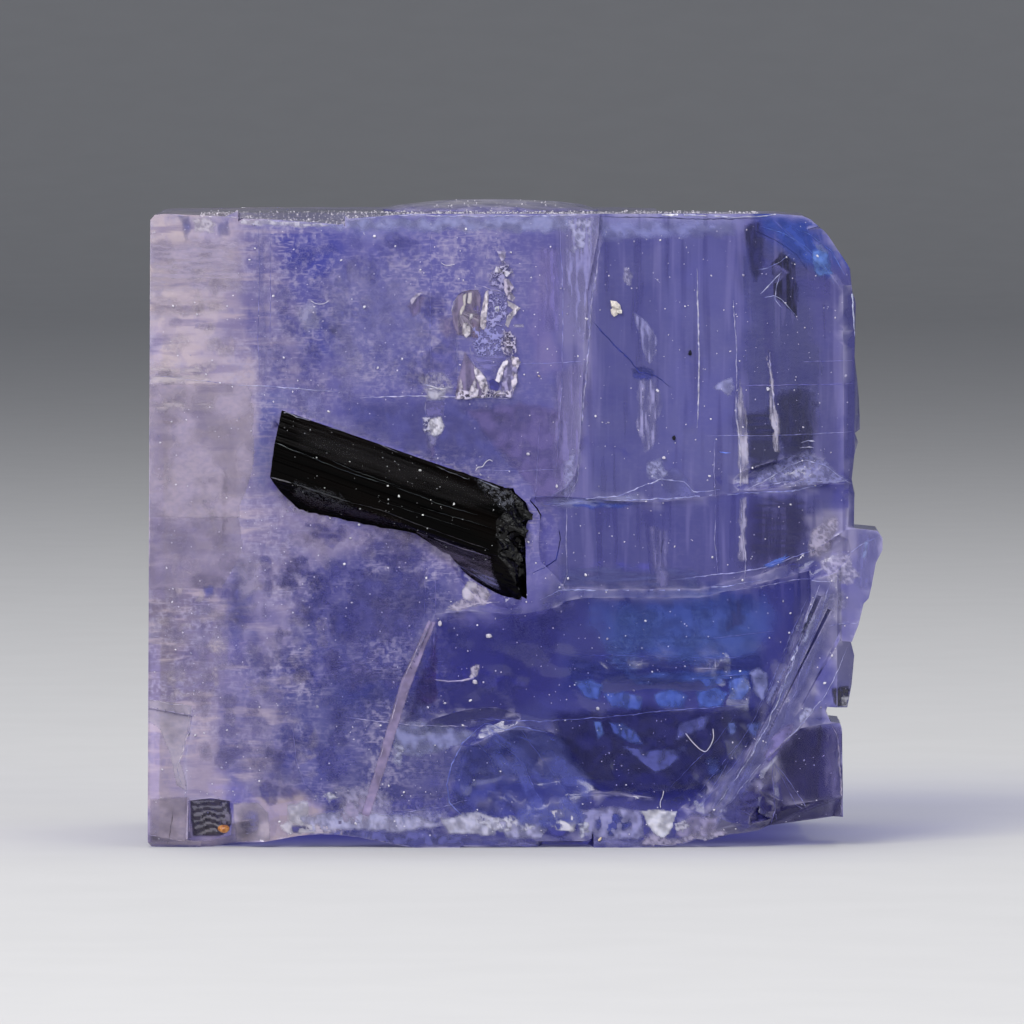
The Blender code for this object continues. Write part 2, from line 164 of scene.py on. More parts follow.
def latticeNoise(points, scale, seed, octaves=3):
    # smooth noise in space, about 0 to 1, the same on each run
    total = np.zeros(len(points))
    weight, reach = 1.0, 0.0
    for octave in range(octaves):
        p = points / scale * 2.0 ** octave + 37.17 * (seed + octave)
        cell = np.floor(p).astype(np.int64)
        f = p - cell
        f = f * f * (3 - 2 * f)
        value = np.zeros(len(points))
        for corner in range(8):
            step = np.array([corner & 1, corner >> 1 & 1, corner >> 2 & 1])
            q = (cell + step).astype(np.uint64)
            h = q[:, 0] * np.uint64(374761393) + q[:, 1] * np.uint64(668265263) + q[:, 2] * np.uint64(2246822519)
            h = (h + np.uint64(seed * 3266489917 & 0xffffffff)) & np.uint64(0xffffffff)
            h = ((h ^ (h >> np.uint64(15))) * np.uint64(2246822519)) & np.uint64(0xffffffff)
            h = ((h ^ (h >> np.uint64(13))) * np.uint64(3266489917)) & np.uint64(0xffffffff)
            share = np.prod(np.where(step == 1, f, 1 - f), axis=1)
            value += share * (h ^ (h >> np.uint64(16))).astype(np.float64) / 4294967295.0
        total += value * weight
        reach += weight
        weight *= 0.5
    return total / reach


def smooth(low, high, value):
    t = np.clip((value - low) / (high - low), 0.0, 1.0)
    return t * t * (3 - 2 * t)


def edgeDistance(px, py, outline):
    # photo pixels from each point to a closed outline, negative inside it
    best = np.full(len(px), 1e9)
    inside = np.zeros(len(px), dtype=bool)
    for (ax, ay), (bx, by) in zip(outline, outline[1:] + outline[:1]):
        dx, dy = bx - ax, by - ay
        t = np.clip(((px - ax) * dx + (py - ay) * dy) / (dx * dx + dy * dy + 1e-9), 0, 1)
        best = np.minimum(best, np.hypot(px - ax - t * dx, py - ay - t * dy))
        crosses = (ay > py) != (by > py)
        at = ax + (py - ay) * dx / (dy if abs(dy) > 1e-9 else 1e-9)
        inside ^= crosses & (px < at)
    return np.where(inside, -best, best)


def within(px, py, outline, soft):
    # 1 inside an outline and 0 outside it, with a soft border
    return smooth(soft / 2, -soft / 2, edgeDistance(px, py, outline))


# the crystal's shape
crystal = {
    "edgeBevel": 0.02 * mm,
    "bevelAngle": 28,
    "frontStep": 0.10 * mm,       # spacing of the cuts over the photographed face
    "otherStep": 0.32 * mm,
    "socketGap": 0.09 * mm,       # walls this near the black prism are drawn up to it
    "smoothAngle": 24,
    # rows of the lower and upper front edges by column, in photo pixels, before and after they are drawn to the photo
    "bottomNow": [(150, 844), (250, 844), (300, 843), (330, 841), (420, 841), (590, 842), (594, 848), (700, 848),
                  (706, 841), (730, 835), (770, 832), (800, 828), (843, 823)],
    "bottomWanted": [(150, 845), (190, 848), (230, 843), (320, 837), (360, 839), (400, 844), (440, 847), (520, 848),
                     (640, 848), (690, 845), (720, 838), (760, 831), (800, 827), (843, 821)],
    "topNow": [(150, 214.5), (237, 214.5), (239, 224.5), (344, 225), (346, 215.5), (411, 215.5), (600, 215)],
    "topWanted": [(150, 214.5), (168, 214.6), (240, 218), (290, 221), (342, 225), (347, 220.5), (411, 215.5),
                  (600, 215)],
}


def bisectAll(place, normal):
    bpy.ops.mesh.select_all(action="SELECT")
    bpy.ops.mesh.bisect(plane_co=place, plane_no=normal, threshold=1e-8)


def diceFaces(piece, keep, cuts):
    # cuts the kept faces into a net of small ones; the rest is hidden meanwhile
    makeActive(piece)
    bpy.context.tool_settings.mesh_select_mode = (False, False, True)
    for face, chosen in zip(piece.data.polygons, keep):
        face.select = bool(chosen)
    bpy.ops.object.mode_set(mode="EDIT")
    bpy.ops.mesh.hide(unselected=True)
    for axis, step, low, high in cuts:
        normal = np.eye(3)[axis]
        for k in range(int((high - low) / step) + 1):
            bisectAll(normal * (low + k * step), normal)
    bpy.ops.mesh.reveal()
    bpy.ops.object.mode_set(mode="OBJECT")


def isFront(piece):
    return [face.center.y < -3.6 * mm and face.normal.y < -0.3 for face in piece.data.polygons]


def buildCrystal():
    piece = copyOfNode("crystalBlock", "carletonite_crystal")
    bevelEdges(piece, crystal, 1)
    step = crystal["otherStep"]
    front = isFront(piece)
    diceFaces(piece, [not f for f in front],
              [(0, step, -6.5 * mm, 6.6 * mm), (1, step, -4.1 * mm, 4.7 * mm), (2, step, 0.1 * mm, 11.65 * mm)])
    step = crystal["frontStep"]
    diceFaces(piece, isFront(piece), [(0, step, -6.59 * mm, 6.6 * mm), (2, step, 0.03 * mm, 11.65 * mm)])
    return piece


# The black prism's own directions: along it, across it in the front face, and out toward the viewer
prism = {
    "angle": math.radians(19.1),
    "start": (-4.32 * mm, 7.03 * mm),
    # how far across the visible lower edge lies, by length
    "lowerEdge": [(-0.3, -0.70), (0.3, -0.70), (0.62, -0.687), (1.04, -0.654), (1.4, -0.627), (1.8, -0.575),
                  (2.17, -0.533), (2.53, -0.476), (2.81, -0.43), (3.05, -0.49), (3.35, -0.556), (3.69, -0.61),
                  (4.12, -0.726), (4.44, -0.805), (4.74, -0.85), (5.06, -0.885)],
    # shifts along the prism, by the place across it, at its broken end and at its start
    "brokenEdge": [(-0.95, 0.20), (-0.71, 0.24), (-0.52, 0.17), (-0.3, 0.11), (-0.07, 0.09), (0.14, 0.08),
                   (0.37, 0.11), (0.61, 0.14), (0.745, -0.03), (0.83, -0.24), (0.95, -0.28)],
    "startEdge": [(-0.75, 0.30), (-0.687, 0.28), (-0.565, 0.15), (-0.436, 0.12), (-0.32, 0.127), (0.267, 0.008),
                  (0.83, -0.06)],
    "plainLower": -0.72,
    # cuts, in mm: direction (along, across, out), spacing, from, to
    "cuts": [(0, 0.14, -0.1, 4.0), (0, 0.045, 4.0, 5.0), (1, 0.05, -1.0, 1.0), (2, 0.09, -1.15, 0.45)],
    "edgeBevel": 0.012 * mm,
    "bevelAngle": 16,
    "flute": 0.010 * mm,
    "grit": 0.13 * mm,
}


def toPrism(points):
    # along, across and out, in mm
    x, z = points[:, 0] - prism["start"][0], points[:, 2] - prism["start"][1]
    c, t = math.cos(prism["angle"]), math.sin(prism["angle"])
    return np.column_stack([x * c - z * t, x * t + z * c, frontY - points[:, 1]]) / mm


def fromPrism(local):
    c, t = math.cos(prism["angle"]), math.sin(prism["angle"])
    along, across, out = (local * mm).T
    return np.column_stack([along * c + across * t + prism["start"][0], frontY - out,
                            -along * t + across * c + prism["start"][1]])


def lerp(table, value):
    return np.interp(value, [row[0] for row in table], [row[1] for row in table])


def settlePrism(points):
    # one bend for prism and crystal alike: the lower edge and the broken end follow the photo, and both still fit
    local = toPrism(points)
    along, across, out = local.T
    near = smooth(-1.1, -0.5, out) * smooth(-1.3, -0.4, along) * smooth(6.6, 5.6, along)
    shift = lerp(prism["lowerEdge"], along) - prism["plainLower"]
    bump = smooth(-0.34, -0.72, across) * smooth(-1.7, -0.95, across)
    reach = lerp(prism["brokenEdge"], across) * smooth(3.9, 4.5, along) * smooth(6.4, 5.1, along)
    reach = reach * smooth(-1.8, -1.0, across) * smooth(1.6, 0.85, across)
    local[:, 1] = across + shift * bump * near
    start = lerp(prism["startEdge"], across) * smooth(1.7, 0.3, along)
    start = start * smooth(-1.6, -0.9, across) * smooth(1.6, 0.9, across)
    local[:, 0] = along + (reach + start) * near
    return fromPrism(local)


def closeSocket(piece, other, reach, leave):
    # draws the socket's walls up to the prism, so that no gap shows between the two
    tree = BVHTree.FromObject(other, bpy.context.evaluated_depsgraph_get())
    points = coordinates(piece.data)
    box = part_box("aegirine_prism")
    low, high = np.array(box[0]) - reach, np.array(box[1]) + reach
    for i in np.nonzero(np.all((points > low) & (points < high), axis=1))[0]:
        here = Vector(points[i])
        near, normal, face, distance = tree.find_nearest(here)
        if near is not None and distance < reach:
            away = (here - near).normalized()
            points[i] = near + away * leave
    setCoordinates(piece.data, points)


# Places where the face is brought level, in photo pixels: outline, depth behind the face in mm, softness
levels = [
    ("foot", [(250, 798), (745, 790), (760, 870), (250, 870)], 0.05, 26),
    ("lower hollow", [(580, 690), (735, 690), (730, 805), (590, 805)], 0.10, 40),
    ("right hollow", [(700, 770), (770, 760), (770, 830), (700, 830)], 0.14, 26),
    ("belt hollow", [(600, 664), (720, 660), (720, 690), (600, 690)], 0.10, 20),
]


def frontVertices(piece):
    found = np.zeros(len(piece.data.vertices), dtype=bool)
    for face, front in zip(piece.data.polygons, isFront(piece)):
        if front:
            for v in face.vertices:
                found[v] = True
    return found


def wear(piece):
    # levels a few hollows, then adds the fine relief: ripples, ridges and worn edges
    points = coordinates(piece.data)
    front = frontVertices(piece)
    px = points[:, 0] / pixel + middlePx
    py = floorPy - points[:, 2] / pixel
    wx = px + (latticeNoise(points, 0.7 * mm, 31) - 0.5) * 16
    wy = py + (latticeNoise(points, 0.7 * mm, 32) - 0.5) * 16
    for name, outline, depth, soft in levels:
        mask = within(wx, wy, outline, soft) * front
        uneven = (latticeNoise(points, 0.5 * mm, 33) - 0.5) * 0.05
        target = frontY + (depth + uneven) * mm
        points[:, 1] += (target - points[:, 1]) * mask

    def bumps(stretch, size, seed, height):
        return (latticeNoise(points * stretch, size * mm, seed) - 0.5) * height

    relief = bumps(1, 1.2, 34, 0.012)
    relief += bumps((1, 1, 6), 0.6, 35, 0.016) * smooth(330, 220, wx)
    across = wx * 0.908 + wy * 0.42
    combed = np.column_stack([across * pixel, across * 0, wy * pixel * 0.12])
    diagonal = within(wx, wy, [(830, 560), (860, 590), (838, 690), (800, 740), (750, 800), (700, 840), (680, 800),
                               (760, 700)], 24)
    relief += (latticeNoise(combed, 0.11 * mm, 36) - 0.5) * 0.11 * diagonal
    shell = within(wx, wy, [(447, 800), (450, 765), (480, 722), (545, 728), (590, 785), (592, 830), (480, 834)], 10)
    ring = np.hypot(wx - 484, wy - 715)
    relief += (np.sin(ring / 4.2) * 0.012 - smooth(0, 60, ring) * smooth(140, 60, ring) * 0.05) * shell
    rough = within(wx, wy, [(300, 800), (740, 796), (745, 850), (300, 850)], 14)
    relief += bumps(1, 0.22, 37, 0.09) * rough
    chunky = within(wx, wy, [(430, 655), (770, 655), (760, 800), (560, 800)], 30)
    relief += np.abs(latticeNoise(points, 0.55 * mm, 38) - 0.5) * -0.12 * chunky
    vein = within(wx, wy, [(740, 492), (775, 474), (806, 456), (850, 476), (852, 492)], 10)
    relief += bumps((1, 1, 2), 0.16, 39, 0.10) * vein
    upright = within(wx, wy, [(600, 240), (850, 240), (850, 500), (600, 500)], 40)
    relief += bumps((5, 1, 0.3), 0.5, 40, 0.02) * upright
    points[:, 1] -= relief * mm * front
    # the lower and the upper front edge run as in the photo
    for now, wanted, pull in (
        ("bottomNow", "bottomWanted",
         lambda p: smooth(1.1 * mm, 0.15 * mm, p[:, 2]) * smooth(2.0 * mm, -1.0 * mm, p[:, 1])),
        ("topNow", "topWanted",
         lambda p: smooth(10.9 * mm, 11.25 * mm, p[:, 2]) * smooth(-3.4 * mm, -4.0 * mm, p[:, 1])),
    ):
        drop = lerp(crystal[now], px) - lerp(crystal[wanted], px)
        points[:, 2] += drop * pixel * pull(points)
    # the other faces get low steps and grain of their own
    normals = normalsOf(piece.data)
    rest = np.where(front, 0.0, 1.0) * (1 - smooth(-3.2 * mm, -4.1 * mm, points[:, 1]) * 0.7)
    swell = bumps((1, 1, 4), 0.9, 41, 0.05) + bumps(1, 0.35, 42, 0.03)
    points += normals * (swell * rest * mm)[:, None]
    low, high = np.array(cadBox[0]), np.array(cadBox[1])
    low[1] = frontY - 0.06 * mm
    points = np.clip(points, low, high)
    setCoordinates(piece.data, points)


# Its colour zones: soft patches laid over each other on the front face.
# name: colour, softness, raggedness | outline in photo pixels
zones = readTable("""
ground: 108,105,166 1 0 | 100,150 900,150 900,900 100,900
right half: 88,88,148 14 4 | 597,150 900,150 900,900 585,900
pale top rim: 138,138,190 16 6 | 240,212 740,212 740,230 240,236
haze middle: 118,115,173 40 24 | 250,225 520,225 520,400 250,400
lilac left: 126,119,164 60 26 | 245,200 330,200 325,420 300,520 350,560 310,700 340,860 200,860
blue top left: 84,86,164 30 12 | 285,222 345,222 340,262 300,300 280,262
blue upper middle: 92,92,164 30 14 | 300,300 330,290 338,350 310,372
blue left of prism: 118,118,172 16 8 | 243,384 290,390 276,440 268,500 250,470
below prism: 148,138,170 60 30 | 240,500 470,560 450,600 330,640 240,640
lower left blue: 77,77,141 50 30 | 265,640 330,590 560,600 560,850 290,850
blue drifts: 84,84,148 26 16 | 272,690 300,668 330,700 322,760 296,800 270,780
blue middle: 78,76,140 40 22 | 345,560 430,560 440,640 420,690 340,680 320,640
deep middle: 52,52,120 34 12 | 436,610 560,604 560,720 440,722
deep lower left: 66,66,134 30 16 | 350,640 440,640 430,720 330,700
milky side: 170,157,178 12 7 | 100,150 243,150 250,375 254,400 253,470 243,500 238,520 240,535 232,570 222,590
      215,700 222,800 240,900 100,900
bright side: 204,190,200 24 14 | 100,150 236,150 240,260 232,380 238,440 200,480 100,500
side middle: 196,182,194 30 12 | 100,350 244,360 246,450 244,560 100,565
brightest side: 214,198,202 40 14 | 100,220 200,220 206,300 196,400 100,410
grey side low: 133,122,146 30 12 | 100,560 225,560 220,700 100,700
pale ledge: 132,128,176 8 3 | 560,215 601,215 592,330 584,400 578,470 566,505 556,505 563,400
mauve column: 128,120,176 10 5 | 535,250 556,250 556,375 535,375
grey columns: 97,97,156 24 10 | 660,240 738,240 738,470 660,470
dim right: 78,79,130 20 10 | 745,240 815,240 815,480 745,480
blue corner: 66,82,156 16 8 | 745,212 860,212 862,300 815,262 760,240
right margin: 87,86,144 20 8 | 815,270 870,270 870,500 815,500
mid band: 88,88,144 12 5 | 560,503 860,503 860,590 560,590
mid band dark: 72,70,116 16 8 | 742,505 815,505 800,565 742,570
lower block: 66,68,134 14 6 | 555,588 760,588 830,560 830,720 700,860 470,860 500,720 555,690
blue lens: 75,92,164 26 12 | 600,602 700,596 762,604 758,650 690,662 610,650
dark belt: 50,56,124 18 8 | 560,660 770,655 765,690 560,690
navy: 34,36,92 16 8 | 560,712 770,706 760,745 700,800 600,795 560,760
shell: 70,74,146 10 4 | 447,800 450,765 480,725 545,730 590,790 590,830 480,832
blue foot: 74,74,138 18 8 | 300,800 740,800 740,852 300,852
diagonal band: 92,92,148 14 6 | 816,560 850,600 828,690 800,727 745,800 700,835 695,800 773,713
plum block: 55,50,100 10 4 | 773,745 800,724 846,724 846,850 740,850 735,800
shard: 112,110,158 14 6 | 820,530 890,530 862,640 850,700 824,640
shard light: 142,138,172 10 6 | 808,515 842,512 860,545 840,565 815,555
pit rim: 182,168,174 12 4 | 150,798 180,798 186,842 150,850
pale foot: 184,168,174 12 8 | 236,800 300,798 330,815 300,850 232,850
""")
elsewhere = {
    "milky": (168, 156, 178),
    "violet": (104, 102, 162),
    "deep": (64, 68, 134),
    "foot": (120, 114, 156),
    "dustyTop": (116, 112, 138),
    "dustyTopFront": (112, 108, 132),
    "humpRim": (206, 202, 214),
    # a painted highlight along sharp edges, and the angle at which an edge counts as sharp
    "edgeHighlight": (204, 200, 226),
    "highlightEdgeAngle": 26,
    "dimmed": (0.66, 0.68, 0.88),     # what the darker clouds leave of the colour
}


def edgeMask(piece, angle):
    # 1 on the vertices of sharp edges, fading over the next ones
    mesh = piece.data
    normals = threes(mesh.polygons, "normal")
    loopEdge = np.empty(len(mesh.loops), dtype=np.int64)
    mesh.loops.foreach_get("edge_index", loopEdge)
    sides = np.empty(len(mesh.polygons), dtype=np.int64)
    mesh.polygons.foreach_get("loop_total", sides)
    loopFace = np.repeat(np.arange(len(sides)), sides)
    order = np.argsort(loopEdge, kind="stable")
    sortedEdge, sortedFace = loopEdge[order], loopFace[order]
    twice = np.nonzero(sortedEdge[1:] == sortedEdge[:-1])[0]
    turn = np.einsum("ij,ij->i", normals[sortedFace[twice]], normals[sortedFace[twice + 1]])
    ends = np.empty(len(mesh.edges) * 2, dtype=np.int64)
    mesh.edges.foreach_get("vertices", ends)
    ends = ends.reshape(-1, 2)
    mask = np.zeros(len(mesh.vertices))
    mask[ends[sortedEdge[twice][turn < math.cos(angle)]].reshape(-1)] = 1.0
    fade = mask * 0.0
    np.maximum.at(fade, ends[:, 0], mask[ends[:, 1]])
    np.maximum.at(fade, ends[:, 1], mask[ends[:, 0]])
    return np.maximum(mask, fade * 0.35)


def paintCrystal(piece):
    points = coordinates(piece.data)
    px = points[:, 0] / pixel + middlePx
    py = floorPy - points[:, 2] / pixel
    wide = [(latticeNoise(points, 0.9 * mm, 3 + k) - 0.5) * 2 for k in range(2)]
    fine = [(latticeNoise(points, 0.18 * mm, 7 + k) - 0.5) * 2 for k in range(2)]
    colour = np.zeros((len(points), 3))
    for name, rgb, soft, rough, outline in zones:
        wx = px + (wide[0] + 0.5 * fine[0]) * rough * 2
        wy = py + (wide[1] + 0.5 * fine[1]) * rough * 2
        mask = within(wx, wy, outline, soft)
        colour += (np.array(linear(rgb)) - colour) * mask[:, None]
    # behind the front the zones give way to broad noise
    body = np.tile(np.array(linear(elsewhere["violet"])), (len(points), 1))
    broad = latticeNoise(points, 2.6 * mm, 21)
    for rgb, mask in (
        (elsewhere["deep"], smooth(0.42, 0.62, broad)),
        (elsewhere["milky"], smooth(-3.6 * mm, -5.4 * mm, points[:, 0] + (broad - 0.5) * 3 * mm)),
        (elsewhere["foot"], smooth(1.2 * mm, 0.1 * mm, points[:, 2] + (broad - 0.5) * 1.5 * mm)),
    ):
        body += (np.array(linear(rgb)) - body) * mask[:, None]
    depth = smooth(-3.7 * mm, -2.6 * mm, points[:, 1])[:, None]
    # dust on the top and a pale rim round the hump
    upward = smooth(0.5, 0.85, normalsOf(piece.data)[:, 2]) * smooth(10.9 * mm, 11.1 * mm, points[:, 2])
    body += (np.array(linear(elsewhere["dustyTop"])) - body) * (upward * 0.7)[:, None]
    colour = colour * (1 - depth) + body * depth
    colour += (np.array(linear(elsewhere["dustyTopFront"])) - colour) * (upward * 0.7 * (1 - depth[:, 0]))[:, None]
    rim = smooth(11.44 * mm, 11.58 * mm, points[:, 2]) * smooth(0.25, 0.6, latticeNoise(points, 0.15 * mm, 24))
    colour += (np.array(linear(elsewhere["humpRim"])) - colour) * (rim * 0.8)[:, None]
    # sharp edges get a painted highlight: a pale tint along them, broken up by noise
    edge = edgeMask(piece, math.radians(elsewhere["highlightEdgeAngle"]))
    along, across, out = toPrism(points).T
    edge *= (along < -0.35) | (along > 5.6) | (np.abs(across) > 1.35)       # not at the socket of the prism
    pale = edge * smooth(0.34, 0.62, latticeNoise(points, 0.22 * mm, 23)) * 0.5
    colour += (np.array(linear(elsewhere["edgeHighlight"])) - colour) * pale[:, None]
    reach = px + wide[0] * 40 + smooth(560, 660, py) * 110
    haze = np.maximum(1 - smooth(470, 590, reach), 0.05)
    dim = smooth(0.50, 0.66, latticeNoise(points, 0.6 * mm, 25, 5)) * 0.42
    colour *= 1 - (1 - np.array(elsewhere["dimmed"])) * dim[:, None]
    frost = haze * (0.25 + 0.75 * smooth(0.36, 0.68, latticeNoise(points, 0.9 * mm, 26, 5)))
    bands = smooth(330, 200, px + wide[1] * 20)
    columns = smooth(500, 600, px) * smooth(640, 560, py)
    paintVertices(piece.data, "tint", np.column_stack([colour, np.ones(len(points))]))
    paintVertices(piece.data, "habit", np.column_stack([haze, bands, columns, frost]))


# marks on and in the front face
class FaceFinder:
    # finds the front face's depth at a place in the photo
    def __init__(self, piece):
        self.tree = BVHTree.FromObject(piece, bpy.context.evaluated_depsgraph_get())

    def at(self, px, py, out=0.0):
        x, z = onPhoto(px, py)
        hit, normal, face, distance = self.tree.ray_cast(Vector((x, -0.01, z)), Vector((0, 1, 0)))
        if hit is None or hit.y > -2.6 * mm:
            return None
        return Vector((x, hit.y - out, z))


def meshPiece(name, corners, faces, tints):
    mesh = bpy.data.meshes.new(name)
    inside = np.clip(np.array([tuple(c) for c in corners]), np.array(cadBox[0]) + 1e-7, np.array(cadBox[1]) - 1e-7)
    mesh.from_pydata(inside.tolist(), [], faces)
    paintVertices(mesh, "tint", [(*linear(rgb[:3]), rgb[3] if len(rgb) > 3 else 1.0) for rgb in tints])
    piece = bpy.data.objects.new(name, mesh)
    bpy.context.scene.collection.objects.link(piece)
    makeActive(piece)
    bpy.ops.object.mode_set(mode="EDIT")
    bpy.ops.mesh.select_all(action="SELECT")
    bpy.ops.mesh.normals_make_consistent(inside=False)
    bpy.ops.object.mode_set(mode="OBJECT")
    return piece


def finish(piece, material, smoothAngle=None):
    piece.data.materials.append(material)
    if smoothAngle is not None:
        makeActive(piece)
        bpy.ops.object.shade_smooth_by_angle(angle=math.radians(smoothAngle))
    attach(piece, "root")
    return piece


def joinRings(faces, before, start, count):
    # a tube's faces between two rings of corners
    for a in range(count):
        b = (a + 1) % count
        faces.append((before + a, before + b, start + b, start + a))


def resample(line, step):
    # points every few pixels along a line of corners
    out = []
    for (ax, ay), (bx, by) in zip(line[:-1], line[1:]):
        count = max(1, int(math.hypot(bx - ax, by - ay) / step))
        out += [(ax + (bx - ax) * k / count, ay + (by - ay) * k / count) for k in range(count)]
    return out + [line[-1]]
